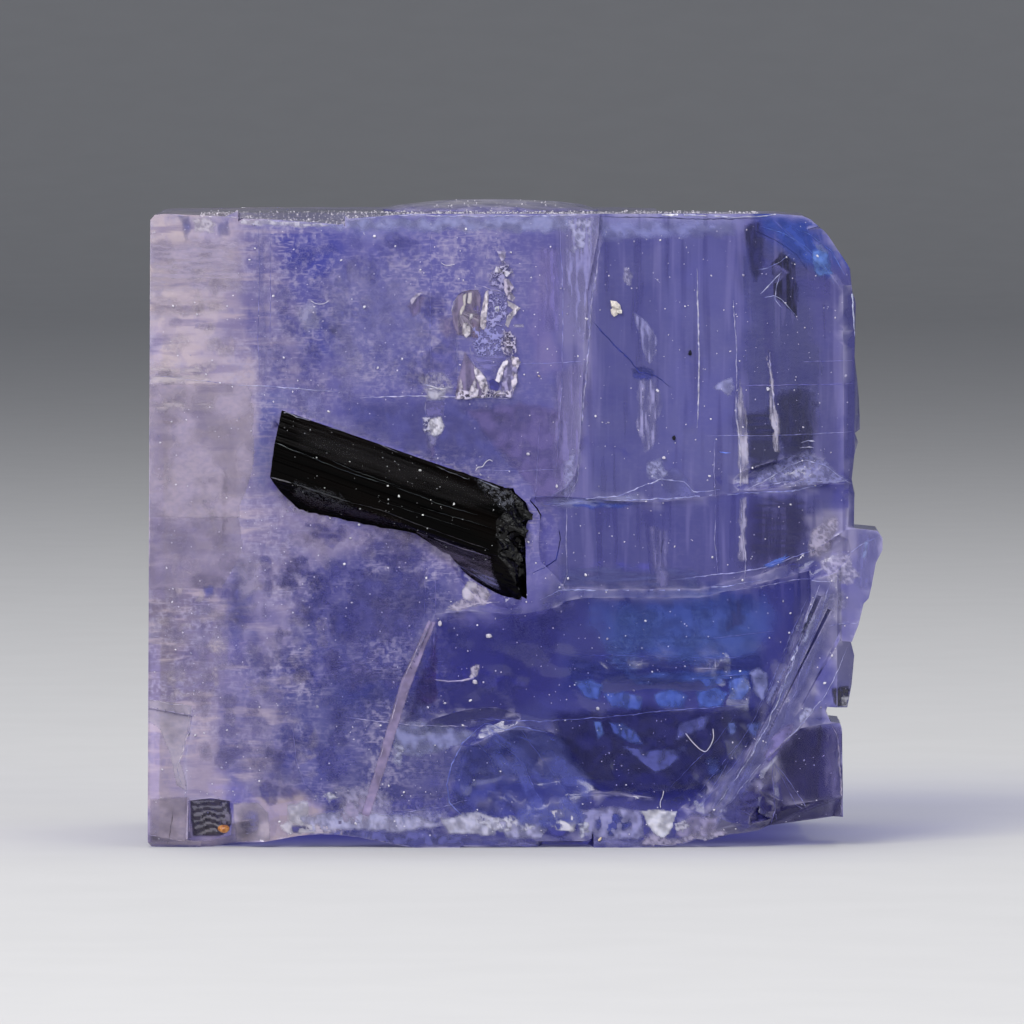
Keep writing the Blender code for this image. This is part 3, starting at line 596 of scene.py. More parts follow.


# name: width in photo pixels, colour, waviness | corners in photo pixels
# the top white, top line and corner rim rows are painted highlights along the upper and right front edges; the other
# rows are edges of steps, streaks, veins and cracks
lines = readTable("""
ledge edge upper: 2 196,192,224 1 | 601,232 598,260 592,300 588,350 584,395 580,440 577,480 566,503
ledge inner: 1.4 160,156,205 1 | 566,505 556,506 542,504
column edge a: 1.3 150,146,200 0.7 | 560,222 563,300 562,380 556,470 553,500
column edge b: 1.2 150,146,200 0.6 | 540,420 537,470 535,512
white streak a: 2 214,210,226 0.5 | 697,268 698,310 699,350 699,395 697,428
white streak b: 2.2 206,202,224 0.8 | 736,392 737,420 740,450 741,488
white streak c: 1.4 190,186,216 0.7 | 733,300 736,340 737,392
white streak d: 2.2 208,202,218 1 | 770,352 771,380 775,410 778,452
white streak e: 1.3 166,162,205 0.6 | 715,440 714,470 716,498
white streak f: 1.5 190,186,214 0.7 | 741,500 743,530 746,560 744,585
white streak g: 1.3 160,158,204 0.7 | 716,505 715,540 718,575
white streak h: 1.6 176,172,208 0.6 | 567,508 566,540 567,575 563,588
cross line a: 1.5 186,184,216 0.8 | 225,384 260,386 300,389 340,392
cross line b: 1.8 196,192,220 0.8 | 360,398 400,396 450,397 515,398
cross line c: 1.2 140,138,196 0.5 | 515,364 560,363 590,361
cross line d: 1.2 150,148,200 0.5 | 480,470 520,471 560,469
cross line e: 1.3 160,158,206 0.5 | 700,436 760,436 820,434 853,432
cross line f: 1.1 138,134,192 0.5 | 800,362 830,361 856,361
cross line g: 1.1 134,130,190 0.5 | 735,386 800,385 856,384
mid step top: 1.8 170,172,218 1.2 | 535,506 580,502 640,500 700,497 740,494 790,492 850,480
mid step flare: 1.6 184,184,222 1.4 | 560,501 620,496 660,480 684,482 694,492 720,490
curved vein a: 1.8 196,196,226 1 | 745,491 768,480 790,466 806,460 826,466 842,478 852,484
curved vein b: 1.2 176,176,216 0.8 | 752,488 785,482 820,482 850,482
curved vein c: 1 170,170,212 0.8 | 762,484 775,474 786,478 797,466 806,477 815,465
mid step low: 1.8 160,164,214 1.2 | 540,600 560,590 620,590 680,590 730,586 762,580
mid step low right: 1.6 170,170,216 1 | 672,580 730,574 765,568 800,556 830,545
blue spark: 2.4 96,120,214 0.6 | 765,566 778,562 790,557
long curve: 1.4 186,184,216 0.8 | 728,592 760,588 800,580 845,583
block line a: 1.4 120,124,190 1 | 470,720 540,722 600,718 690,709 745,706
block line b: 1.1 100,104,176 0.8 | 560,655 640,657 720,659 760,656
block line c: 1.2 130,134,200 0.7 | 720,677 750,675 768,674
block line d: 1.1 110,112,180 0.7 | 705,640 740,636 775,632
band line a: 2 196,196,226 1.4 | 820,585 812,605 800,640 790,670 779,700 765,730 748,762 725,795 712,815
band line b: 1.4 166,166,212 1.2 | 833,575 822,610 808,650 796,690 786,712
band line c: 1.4 180,180,218 1.2 | 848,648 836,675 826,695 800,727 782,744 763,763 740,790 722,815
band line d: 1.1 140,142,200 1 | 794,628 782,660 770,690 752,725 730,760 706,800
band line e: 1.1 132,134,194 1 | 808,600 790,640 776,676 756,712
band line f: 1 126,128,190 1 | 756,732 738,760 716,790 694,815
band line g: 1 126,128,190 1 | 744,738 722,765 700,792
band line h: 1 120,122,186 1 | 736,716 716,742 690,768 668,790
band crinkle: 2.2 206,208,232 2.4 | 808,615 804,628 799,638 795,655 786,676 778,692 770,702
block seam: 1.4 150,148,200 0.8 | 773,763 785,775 796,792 808,810
block seam b: 1.2 130,126,184 0.8 | 774,745 773,780 776,812 768,838
fan a: 1 120,118,176 0.6 | 734,808 748,814 764,826
fan b: 1 120,118,176 0.6 | 742,800 754,808 768,822
fan c: 1 120,118,176 0.6 | 752,795 762,806 770,818
shard ridge: 1.4 176,174,216 0.8 | 842,560 862,545 880,536
shard low: 1.3 160,158,206 0.8 | 829,626 845,624 860,624
shell rim left: 1.8 120,128,200 1 | 484,724 462,744 452,764 447,785 449,803 460,815 478,826
shell rim top: 1.6 140,148,212 1.2 | 484,724 505,730 520,727 548,734
shell rib a: 1.1 112,118,190 1 | 484,724 500,745 522,762 534,790 548,812
shell rib b: 1.1 112,118,190 1 | 520,728 532,748 548,768 566,792 580,815
shell rib c: 1 104,110,184 1 | 470,735 490,758 500,778
left cross: 1.5 190,184,214 0.8 | 345,718 380,722 420,726 468,727
left cross b: 1.3 176,168,204 0.8 | 152,375 190,380 225,383
cream edge: 2 214,204,214 1.4 | 188,705 190,730 183,750 176,770 182,790 186,798
cream top: 1.6 200,190,204 0.8 | 149,700 170,704 188,706
left column: 1.2 150,144,196 0.6 | 258,225 260,280 258,340 260,380
left column b: 1.1 146,140,192 0.6 | 270,230 271,290 270,350
middle column: 1.2 140,136,192 0.5 | 430,220 431,270 430,330 432,395
blue crease a: 2 52,58,138 1.2 | 592,320 612,342 628,358 640,372 655,376 672,388
blue crease b: 1.2 58,64,142 0.8 | 634,318 646,330 652,345
blue arc: 1.8 48,56,140 0.8 | 560,545 556,560 545,568 532,573
dark tick a: 1.6 44,44,92 0.8 | 559,530 561,540 558,552
dark tick b: 1.4 44,44,92 0.8 | 663,540 661,556
pit crack: 1.6 58,50,62 1 | 172,812 170,830 167,845
rod left edge: 1.7 200,190,214 0.5 | 430,621 417,650 403,681 396,705 388,731 376,772 363,816
rod right edge: 1.2 176,166,200 0.5 | 434,624 422,652 410,682 401,712 393,738 381,778 368,818
rod guide a: 1.1 124,120,180 0.5 | 424,560 425,590 424,618
rod guide b: 1.1 124,118,178 0.5 | 435,570 436,600 434,640 433,660
hook: 2.4 192,180,206 1 | 434,679 448,682 462,681 473,678 479,668
hook b: 2 190,182,208 1 | 446,610 462,608 480,603 500,602
low arc: 1.2 128,124,182 0.8 | 292,722 296,760 304,785 322,800
seam low: 1.4 150,148,200 0.8 | 360,816 400,814 440,808 470,800
fracture base: 1.8 186,180,208 0.4 | 404,396 430,396 456,398 480,398 512,396
fracture brow: 1.6 176,168,200 0.4 | 478,285 485,287 491,290 500,291 506,295
fracture brow b: 1.1 150,146,196 0.4 | 487,272 492,276 498,277
fracture dome: 1.3 74,58,64 0.3 | 457,296 463,292 470,290.6 479,290.4
fracture dome edge: 1.5 206,198,204 0.4 | 459,295 454,302 452,310 453,315
fracture arc: 1.3 164,160,204 0.4 | 489,316 495,317.6 501,317 505,314
pillar edge a: 1.3 166,162,200 0.3 | 457,338 457,348 457,360 458,372
pillar edge b: 1.3 172,168,204 0.3 | 470.5,337 470,348 471,358 475,366
lace line a: 1.3 160,158,204 0.5 | 474,357 484,356 496,357 506,355
lace line b: 1.1 140,138,194 0.5 | 477,361 486,362 496,361 502,362
tab line a: 1.2 190,186,206 0.3 | 426,401 425,409 425.5,414
tab line b: 1 150,146,190 0.3 | 425,416 434,416 443,416.5
ledge white a: 2.4 234,230,236 0.4 | 423,384.5 430,386 437,388 447,389
ledge white b: 1.8 226,222,230 0.4 | 440,390 448,387.4 454,387
ledge white c: 1.8 214,210,224 0.4 | 424,389.5 434,388.8 446,390
window scratch a: 1.7 196,198,224 0.6 | 760,294 768,287 776,278 782,272
window scratch b: 1.4 176,180,216 0.6 | 764,298 774,296 782,300 797,317
window scratch c: 1.4 184,186,218 0.6 | 780,275 776,288 775,300 782,308
window scratch d: 1.2 150,156,210 0.5 | 757,270 768,268 780,262 790,254
corner flow a: 1.2 104,128,200 0.6 | 760,226 785,234 805,246 822,262 834,284
corner flow b: 1.1 96,118,194 0.6 | 790,226 812,236 832,252 846,276
corner flow c: 1.1 44,52,112 0.6 | 752,230 775,240 796,254 812,276
corner rim: 2 206,210,232 0.8 | 795,214 812,219 826,228 840,246 850,270 853,300 855,340
dash a: 2.2 206,204,224 0.6 | 801,443 808,441 815,442
dash b: 1.8 196,194,218 0.6 | 800,448 809,447 814,448
dash c: 1.6 110,134,220 0.4 | 719,452 726,453 731,453
dash d: 1.6 190,186,210 0.4 | 514,326 524,326.5
dash e: 1.3 196,192,214 0.4 | 655,278 660,283
top white a: 3 226,224,232 0.6 | 600,214 630,214.5 665,215 706,216
top white b: 1.6 196,196,214 0.8 | 706,216 735,218 760,216 795,214
top line left: 1.7 196,188,202 0.9 | 168,215 200,216 240,218 290,221 342,225
top line mid: 1.8 190,188,214 0.9 | 347,221 380,217 411,215.5 470,216 540,216 600,215
plum crack a: 1.2 128,124,176 0.6 | 774,764 784,782 796,806 806,812
plum crack b: 1.1 116,110,162 0.6 | 776,766 774,800 778,828
plum margin: 2 176,168,190 1 | 832,725 839,740 841,770 842,800 842,820
top crease: 1.6 60,60,110 0.8 | 600,217 660,218 705,219 760,219
""")


# the same for the black prism: painted highlights along its ridges and upper rim and at the edges of the sheen on its
# lower slope, with a few darker striations
prismGlintLines = readTable("""
ridge start: 2.2 92,98,98 0.5 | 276,442 290,448 304,453
ridge a: 1.5 62,70,70 0.5 | 304,453 322,461 340,468 360,475 388,484
ridge b: 1.3 48,54,54 0.5 | 392,485 420,495 436,502 452,507 478,514
ridge twin: 1.1 44,50,50 0.5 | 330,459 352,469 380,479 400,486
lower ridge start: 2.2 112,110,112 0.5 | 271,476 280,479 292,482
lower ridge a: 1.5 66,66,68 0.6 | 292,482 312,489 334,496 352,502
lower ridge b: 1.3 52,50,54 0.6 | 352,502 380,509 410,521 444,533
streak a: 1.1 36,40,40 0.4 | 420,506 450,515 492,527
streak b: 1 34,36,36 0.4 | 380,500 420,513 470,529
streak c: 1.1 58,54,60 0.5 | 444,533 464,540 490,549
upper rim a: 1.8 150,150,156 0.8 | 281,413.5 287,413 297,417 310,421
upper rim b: 1.3 96,98,100 0.8 | 326,427 348,432 358,436
upper rim c: 1.3 112,112,118 0.8 | 376,443 384,446 398,452
upper rim d: 1.3 90,92,96 0.8 | 436,466 450,472 470,480
upper rim e: 1.8 126,128,134 1 | 478,479 490,484 500,489
wedge line: 1.2 112,104,126 0.5 | 416,532 440,540 466,549 489,556
wedge low: 1.4 96,98,140 0.6 | 440,551 460,566 480,579 494,588
""")


def buildLines(finder, pieceName, table):
    # fine ridges along the edges of cleavage steps and along cracks, and painted highlights along sharp edges and the
    # prism's ridges: three-sided, closed, tapered at both ends
    corners, faces, tints = [], [], []
    for name, width, rgb, wave, line in table:
        path = resample(line, 3.0)
        rows = []
        drift = 0.0
        for k, (px, py) in enumerate(path):
            ax, ay = path[max(0, k - 1)]
            bx, by = path[min(len(path) - 1, k + 1)]
            length = math.hypot(bx - ax, by - ay) or 1.0
            sideX, sideY = -(by - ay) / length, (bx - ax) / length
            drift = drift * 0.6 + dice.uniform(-1, 1) * wave * 0.5
            t = k / max(1, len(path) - 1)
            half = width * 0.5 * (0.25 + 0.75 * min(1.0, 6 * t, 6 * (1 - t))) * dice.uniform(0.55, 1.15)
            cx, cy = px + sideX * drift, py + sideY * drift
            left = finder.at(cx - sideX * half, cy - sideY * half, -0.004 * mm)
            right = finder.at(cx + sideX * half, cy + sideY * half, -0.004 * mm)
            top = finder.at(cx, cy, half * pixel * 0.45)
            if not (left and right and top) or max(left.y, right.y) - min(left.y, right.y) > 0.1 * mm:
                rows.append(None)
                continue
            top.y = min(top.y, left.y, right.y) - 0.002 * mm
            rows.append((left, top, right))
        previous = None
        for row in rows + [None]:
            if row is None:
                if previous is not None:
                    faces.append((previous, previous + 1, previous + 2))
                previous = None
                continue
            start = len(corners)
            corners.extend(row)
            shade = dice.uniform(0.8, 1.08)
            tints.extend([[min(255, c * shade) for c in rgb]] * 3)
            if previous is None:
                faces.append((start, start + 1, start + 2))
            else:
                joinRings(faces, previous, start, 3)
            previous = start
    return meshPiece(pieceName, corners, faces, tints)


# Thin patches in the face. The first row is a painted shadow below the fracture's base, and the pale row at 713,388
# is a painted highlight on a glassy spot.
# kind of grain: colour, strength, softness of the edge, lift in mm | corners in photo pixels
patches = readTable("""
plain: 84,84,148 0.55 26 0 | 345,402 515,400 512,470 440,462 360,430
down: 128,120,182 0.55 6 0.01 | 543,250 558,248 559,332 545,332
down: 142,138,188 0.75 7 0.02 | 568,216 600,218 594,300 588,340 574,330 566,270
down: 134,126,180 0.6 8 0.01 | 556,372 586,362 582,430 576,490 560,494 552,430
crumb: 176,174,212 0.7 6 0.03 | 570,222 592,220 590,246 574,252
crumb: 160,158,204 0.6 6 0.03 | 566,455 576,450 574,492 562,498
plain: 152,154,198 0.6 8 0 | 330,220 560,216 600,220 596,230 440,229 330,228
plain: 140,142,196 0.6 12 0 | 600,222 735,222 735,234 600,238
plain: 172,168,200 0.45 10 0.01 | 298,308 310,303 319,310 318,324 306,331 297,322
crumb: 150,146,192 0.2 24 0.01 | 335,262 420,268 424,330 400,384 340,376 322,320
plain: 136,132,184 0.45 12 0 | 298,388 322,388 320,428 300,426
plain: 110,112,172 0.5 5 0.01 | 180,216 188,215 192,228 187,238 183,228
plain: 108,110,172 0.5 5 0.01 | 217,223 227,221 228,236 219,237
crumb: 204,196,208 0.6 5 0.02 | 194,218 212,217 213,232 197,233
across: 206,194,200 0.55 8 0.01 | 150,366 210,372 212,382 150,384
across: 196,184,194 0.5 7 0.01 | 150,402 214,404 214,410 150,411
across: 190,176,188 0.5 7 0.01 | 150,474 205,476 205,485 150,486
across: 192,178,190 0.45 10 0.01 | 150,296 222,298 226,312 150,314
facet: 176,163,183 0.5 1.6 0.02 | 140,384 245,383 249,388 252,392 251,400 254,408 253,430 255,452 253,466
      250,480 246,492 240,506 239,518 140,518
facet: 154,142,168 0.45 1.6 0.02 | 140,518 239,516 241,530 243,545 240,556 235,566 230,574 222,588 140,590
down: 120,104,126 0.5 3 0 | 224,470 228,486 226,530 222,540 222,500
plain: 84,88,160 0.55 5 0.01 | 203,588 212,586 215,594 206,600
facet: 180,170,186 0.6 2 0.02 | 148,700 172,702 192,706 190,722 184,745 180,762 186,782 187,792 176,786 170,755
      160,730 148,722
facet: 178,166,182 0.75 3 0.02 | 232,804 258,803 268,814 270,840 236,843
plain: 134,128,176 0.6 6 0.01 | 242,814 256,812 256,832 244,834
plain: 206,202,218 0.8 5 0.02 | 288,804 308,802 309,820 300,825 290,822
plain: 206,200,214 0.7 4 0.03 | 280,826 296,822 316,826 314,834 290,835
plain: 84,80,140 0.85 3 0.02 | 290,828 304,826 312,830 300,834 291,832
crumb: 190,178,196 0.7 5 0.02 | 314,826 340,824 342,834 322,838 312,836
crumb: 208,206,222 0.7 4 0.03 | 322,797 331,793 339,797 330,803
crumb: 176,170,204 0.6 14 0.02 | 338,792 372,786 390,800 386,822 346,822
plain: 62,62,132 0.6 12 0 | 402,664 432,640 434,712 404,722
plain: 60,64,136 0.5 20 0 | 330,680 392,676 400,700 340,708
crumb: 184,174,196 0.75 6 0.04 | 448,606 462,600 470,584 484,582 492,596 484,604 460,611
plain: 196,188,206 0.8 3 0.05 | 462,590 468,583 476,584 478,594 470,600 463,598
plain: 188,180,202 0.8 3 0.05 | 479,588 486,586 490,596 482,602
crumb: 196,186,206 0.8 3 0.03 | 472,668 480,665 478,674 472,680 469,676
plain: 136,138,184 0.72 6 0.03 | 393,726 412,722 445,727 474,733 462,742 440,751 412,757 396,748
crumb: 178,178,208 0.6 6 0.03 | 393,742 404,746 401,766 393,760
fan: 86,92,164 0.6 10 0.02 | 484,724 520,730 556,736 590,785 590,826 520,828 496,770
plain: 72,76,150 0.6 8 0.01 | 462,748 482,742 500,780 520,818 478,828 452,806
plain: 72,90,166 0.55 30 0 | 612,602 700,596 756,604 752,650 690,660 618,646
down: 58,60,112 0.55 8 0.01 | 728,604 748,602 742,626 730,630
across: 46,52,120 0.7 8 0 | 570,662 760,658 764,680 640,682 572,678
across: 66,88,172 0.6 5 0.01 | 620,676 700,672 750,673 748,680 640,684
shard: 74,94,176 0.8 4 0.02 | 574,682 590,680 602,686 598,700 586,698
shard: 72,90,172 0.8 4 0.02 | 604,694 622,692 642,698 640,709 612,708
shard: 70,92,176 0.75 4 0.02 | 655,694 670,690 688,696 684,708 660,708
shard: 76,98,182 0.8 4 0.02 | 696,692 716,688 728,694 722,706 700,708
shard: 88,108,188 0.8 4 0.03 | 728,682 744,678 751,688 744,700 730,700
shard: 72,92,176 0.7 3 0.02 | 700,680 722,676 726,684 706,688
plain: 134,138,196 0.8 4 0.03 | 752,674 760,669 768,675 769,690 762,700 753,692
plain: 38,38,98 0.75 10 0 | 560,716 700,712 762,712 752,744 700,790 610,790 562,756
shard: 84,104,178 0.75 3 0.02 | 594,722 601,722 604,734 598,740
shard: 72,86,164 0.8 4 0.02 | 610,724 622,724 636,733 643,744 630,742 614,734
plain: 104,118,190 0.7 3 0.02 | 728,723 735,722 736,734 730,736
shard: 100,114,188 0.75 4 0.02 | 749,726 760,723 764,730 756,738 750,735
plain: 78,82,150 0.85 3 0.04 | 624,748 655,751 688,747 676,760 665,770 656,774 640,762
plain: 72,84,160 0.6 8 0.01 | 708,762 718,760 722,772 712,776
band: 104,104,160 0.6 10 0.02 | 812,596 834,590 826,640 806,690 782,728 750,780 722,818 700,830 726,780 766,716
      790,660
band: 166,168,210 0.7 4 0.04 | 806,612 815,616 808,640 799,642 797,628
band: 140,142,198 0.6 6 0.03 | 796,640 806,644 786,690 772,706 768,700 784,670
plain: 124,116,172 0.8 5 0.03 | 765,758 772,740 784,726 794,724 792,738 780,752 770,764
crumb: 172,172,212 0.7 3 0.03 | 798,716 806,708 814,710 808,719 800,724
plain: 50,46,96 0.5 8 0 | 778,762 806,732 826,730 826,822 790,826 806,806
down: 104,98,146 0.6 6 0.01 | 828,730 843,728 844,818 826,822
fan: 74,72,130 0.6 5 0.02 | 720,812 742,794 762,796 768,828 740,832
crumb: 168,160,186 0.75 6 0.04 | 810,556 812,536 824,520 838,518 840,530 828,548 822,560
crumb: 176,170,200 0.7 5 0.04 | 822,562 838,552 852,560 860,576 848,584 830,580
crumb: 150,146,180 0.55 8 0.02 | 824,596 842,590 846,606 832,616 822,610
down: 120,118,172 0.6 5 0.02 | 858,534 882,533 876,560 868,590 856,586
plain: 150,160,214 0.65 3 0.03 | 864,544 870,540 866,556 861,560
across: 60,58,96 0.7 10 0 | 753,500 800,500 806,528 794,556 756,560
down: 128,124,176 0.55 7 0.01 | 652,530 666,532 668,588 650,588
down: 176,170,202 0.65 4 0.02 | 740,498 746,498 747,560 741,562
plain: 90,116,204 0.8 3 0.02 | 763,567 776,560 788,555 784,562 772,569
across: 92,96,152 0.5 8 0.01 | 560,566 700,572 700,588 562,588
down: 150,148,198 0.7 4 0.03 | 634,314 644,318 655,334 656,352 650,364 644,350 640,332
plain: 66,70,142 0.7 4 0.01 | 630,368 644,366 654,372 648,381 634,378
down: 152,148,194 0.75 6 0.03 | 640,382 654,380 660,404 656,440 646,452 638,424
crumb: 160,160,204 0.65 5 0.03 | 646,462 660,458 668,474 658,480 648,478
crumb: 164,160,196 0.6 4 0.03 | 623,268 630,266 633,276 630,284 624,281
down: 186,180,204 0.75 3 0.02 | 738,378 744,400 748,440 748,484 740,484 738,430
down: 188,182,204 0.75 3 0.02 | 768,350 772,380 778,420 780,452 775,452 770,410
plain: 160,160,208 0.7 3 0.03 | 713,388 722,381 732,378 735,388 728,397 722,390
down: 44,44,78 0.75 7 0 | 744,224 760,224 764,262 756,278 748,262
down: 34,34,54 0.88 3 0 | 772,262 782,253 794,262 798,290 797,318 786,306 774,296
plain: 96,94,150 0.6 3 0.01 | 774,262 790,272 780,282 772,284
down: 52,52,82 0.85 14 0 | 774,400 796,388 812,396 816,436 796,450 776,436
across: 54,54,82 0.75 7 0 | 746,414 770,410 782,452 776,468 750,472
across: 60,60,90 0.65 6 0 | 782,440 812,438 812,456 784,462
plain: 62,82,164 0.7 14 0 | 764,222 812,222 846,256 852,284 826,276 790,250
plain: 100,130,204 0.75 4 0.02 | 813,252 829,250 832,274 817,277
plain: 150,164,220 0.55 3 0.02 | 812,243 822,245 830,252 820,250
crumb: 140,140,190 0.65 5 0.03 | 748,484 764,472 786,460 808,453 828,464 848,482 800,486
plain: 112,112,172 0.55 6 0.02 | 660,474 676,470 690,480 695,498 668,496
across: 150,154,204 0.5 5 0.01 | 548,501 600,498 640,494 640,503 560,507
across: 66,86,180 0.55 4 0.01 | 572,503 610,503 640,505 612,508 574,508
plain: 80,80,140 0.7 6 0.02 | 300,840 420,838 520,842 520,849 300,846
crumb: 198,196,216 0.75 4 0.03 | 477,824 500,818 514,819 536,826 518,834 494,832
plain: 66,66,140 0.8 5 0.02 | 540,820 570,818 576,830 560,838 542,834
crumb: 194,194,216 0.75 3 0.04 | 577,824 588,822 592,832 580,838
plain: 72,76,150 0.75 5 0.02 | 596,820 620,816 634,826 618,836 600,832
plain: 210,208,222 0.88 3 0.05 | 640,812 660,810 676,811 674,826 666,838 656,836 646,822
crumb: 198,194,212 0.8 3 0.04 | 675,824 684,821 689,826 684,832 676,831
crumb: 166,158,188 0.75 6 0.03 | 652,832 672,840 700,834 722,830 730,838 700,847 664,850 640,846
crumb: 160,158,202 0.6 8 0.02 | 384,818 420,812 448,812 446,824 400,828
crisp: 74,68,76 0.96 3 0.02 | 188,801 229,801 231,826 222,838 192,838
swirl: 160,156,156 0.66 2 0.06 | 190,803 226,802 226,822 214,838 194,838
crisp: 30,26,32 0.85 3 0 | 200,818 215,812 218,830 206,838 198,832
crisp: 176,168,176 0.8 2 0.04 | 217,815 229,813 230,826 220,828
facet: 154,142,158 0.7 4 0.02 | 150,800 188,798 190,842 150,842
facet: 146,132,170 0.9 2 0.1 | 428,620 436,622 424,652 412,683 402,713 394,740 382,780 369,818 361,815 374,772
      386,731 394,704 401,680 415,650
plain: 60,44,108 0.55 4 0 | 430,656 437,636 436,700 410,716 414,694
plain: 92,92,150 0.5 4 0 | 420,700 434,704 416,722 404,722
shard: 172,170,206 0.8 6 0.03 | 300,818 340,812 380,816 420,818 440,826 400,832 340,830 300,832
shard: 104,104,170 0.7 6 0.02 | 330,832 420,832 470,838 470,846 400,846 330,840
shard: 190,188,214 0.8 4 0.04 | 440,820 478,812 500,820 494,836 450,834
shard: 168,166,206 0.75 4 0.03 | 500,822 540,814 560,820 540,838 505,838
shard: 210,206,220 0.8 3 0.05 | 552,812 566,808 580,818 574,832 556,830
shard: 150,148,196 0.75 5 0.03 | 580,812 610,808 640,812 644,838 600,840 582,834
shard: 74,80,156 0.8 3 0.02 | 596,816 620,814 630,826 612,834 598,830
shard: 150,142,180 0.75 5 0.03 | 690,816 720,818 712,836 690,842 676,836
across: 118,116,172 0.6 8 0.02 | 480,840 640,840 660,848 480,848
shard: 160,150,184 0.7 8 0.03 | 340,806 362,798 372,812 360,824 340,822
plain: 78,76,140 0.6 14 0 | 352,572 420,572 430,600 400,640 350,636
plain: 66,66,134 0.55 10 0 | 330,606 356,600 352,640 334,640
plain: 160,150,178 0.5 10 0.02 | 236,550 262,560 258,590 240,600
plain: 98,96,158 0.55 12 0 | 240,560 250,600 236,650 226,620
across: 70,66,130 0.65 8 0 | 306,524 345,528 344,540 312,536
across: 70,68,132 0.6 10 0 | 372,534 412,540 424,562 396,570 364,556
down: 112,100,150 0.55 5 0.01 | 428,440 434,440 434,466 428,464
across: 176,164,186 0.5 10 0.01 | 150,240 236,240 244,290 150,290
crumb: 206,202,216 0.6 3 0.04 | 240,219 330,222 342,226 300,227 240,224
down: 112,108,164 0.35 8 0.01 | 258,226 266,226 268,380 260,380
plain: 112,100,156 0.5 7 0.01 | 466,410 520,404 560,410 560,500 540,500 500,450
shard: 92,96,168 0.6 4 0.02 | 680,724 712,716 704,730 676,740
crumb: 54,52,62 0.9 3 0 | 832,690 848,688 852,700 848,709 836,706
crumb: 190,188,200 0.75 3 0.02 | 840,698 851,696 851,708 842,709
plain: 182,176,206 0.7 2 0.02 | 514,324 523,324 524,328 515,328
""")
# Soft mottles, mostly of the left half, are drawn at random: area of their centres, how many, colour, strength, size
mottles = [
    ((262, 560, 345, 800), 46, (80, 78, 146), 0.55, (5, 14)),
    ((215, 560, 300, 790), 40, (110, 103, 156), 0.50, (5, 13)),
    ((200, 560, 330, 790), 46, (158, 148, 180), 0.50, (4, 12)),
    ((270, 232, 430, 380), 34, (88, 88, 164), 0.45, (6, 18)),
    ((330, 262, 430, 390), 26, (136, 130, 178), 0.35, (5, 14)),
    ((160, 240, 226, 700), 50, (160, 148, 178), 0.45, (6, 14)),
    ((160, 240, 226, 700), 50, (202, 188, 196), 0.45, (4, 13)),
    ((330, 540, 430, 690), 34, (108, 101, 158), 0.45, (4, 12)),
    ((440, 600, 560, 700), 16, (66, 66, 136), 0.45, (8, 20)),
    ((280, 500, 420, 560), 26, (152, 140, 174), 0.45, (5, 14)),
    ((600, 604, 750, 655), 10, (84, 104, 178), 0.35, (10, 24)),
]


def drawMottles():
    table = []
    for (x0, y0, x1, y1), count, rgb, strength, (small, large) in mottles:
        for k in range(count):
            px, py = dice.uniform(x0, x1), dice.uniform(y0, y1)
            wide, high = dice.uniform(small, large), dice.uniform(small, large)
            ring = [(px + wide * math.cos(a * math.pi / 3.5) * dice.uniform(0.5, 1.2),
                     py + high * math.sin(a * math.pi / 3.5) * dice.uniform(0.5, 1.2)) for a in range(7)]
            table.append(("crumb", rgb, strength * dice.uniform(0.5, 1.0), dice.uniform(3, 9), 0.0, ring))
    return table


# painted sheen on the black prism: the first two rows on its lower slope and the two lace rows along its lower ridge
# and upper rim; the two dark rows are its own brownish black
prismSheenAndTone = readTable("""
slope: 84,76,100 0.75 4 0.01 | 418,533 489,556 492,572 496,587 476,580 455,565 439,552 427,541
slope: 120,118,168 0.6 4 0.01 | 470,568 492,574 500,590 484,584
slope: 30,20,22 0.6 6 0 | 292,492 340,504 400,520 414,529 360,518 310,506
slope: 13,9,8 0.5 10 0 | 300,424 380,452 470,486 498,500 470,506 380,474 300,446
lace: 92,92,98 0.28 8 0.01 | 296,482 340,496 352,506 330,510 296,494
lace: 110,112,120 0.4 6 0.01 | 476,479 500,488 520,500 506,510 486,492
""")
# kinds of grain: stretch along x and z, size in pixels, share of the strength that it takes, raggedness, share of the
# lift
grainOf = {
    "plain": (1, 1, 9.0, 0.25, 1, 0.1),
    "down": (3.0, 0.35, 7.0, 0.7, 1, 0.1),
    "across": (0.35, 3.0, 7.0, 0.7, 1, 0.1),
    "crumb": (1, 1, 2.6, 0.5, 1, 0.1),
    "shard": (1.4, 1, 9.0, 0.25, 0.6, 0.1),
    "band": (1, 1, 5.0, 0.7, 1, 0.2),
    "fan": (1, 1, 6.0, 0.6, 1, 0.2),
    "slope": (1, 1, 7.0, 0.6, 0.3, 0.1),
    "swirl": (1, 1, 13.0, 0.95, 0.3, 0.2),
    "lace": (1, 1, 6.0, 0.92, 0.4, 0.35),
    "crisp": (1.2, 0.8, 4.0, 0.30, 0.25, 0.35),
    "smoke": (1.6, 0.4, 8.0, 0.35, 0.3, 0.3),
    "facet": (1, 1, 20.0, 0.15, 0.15, 0.1),
}


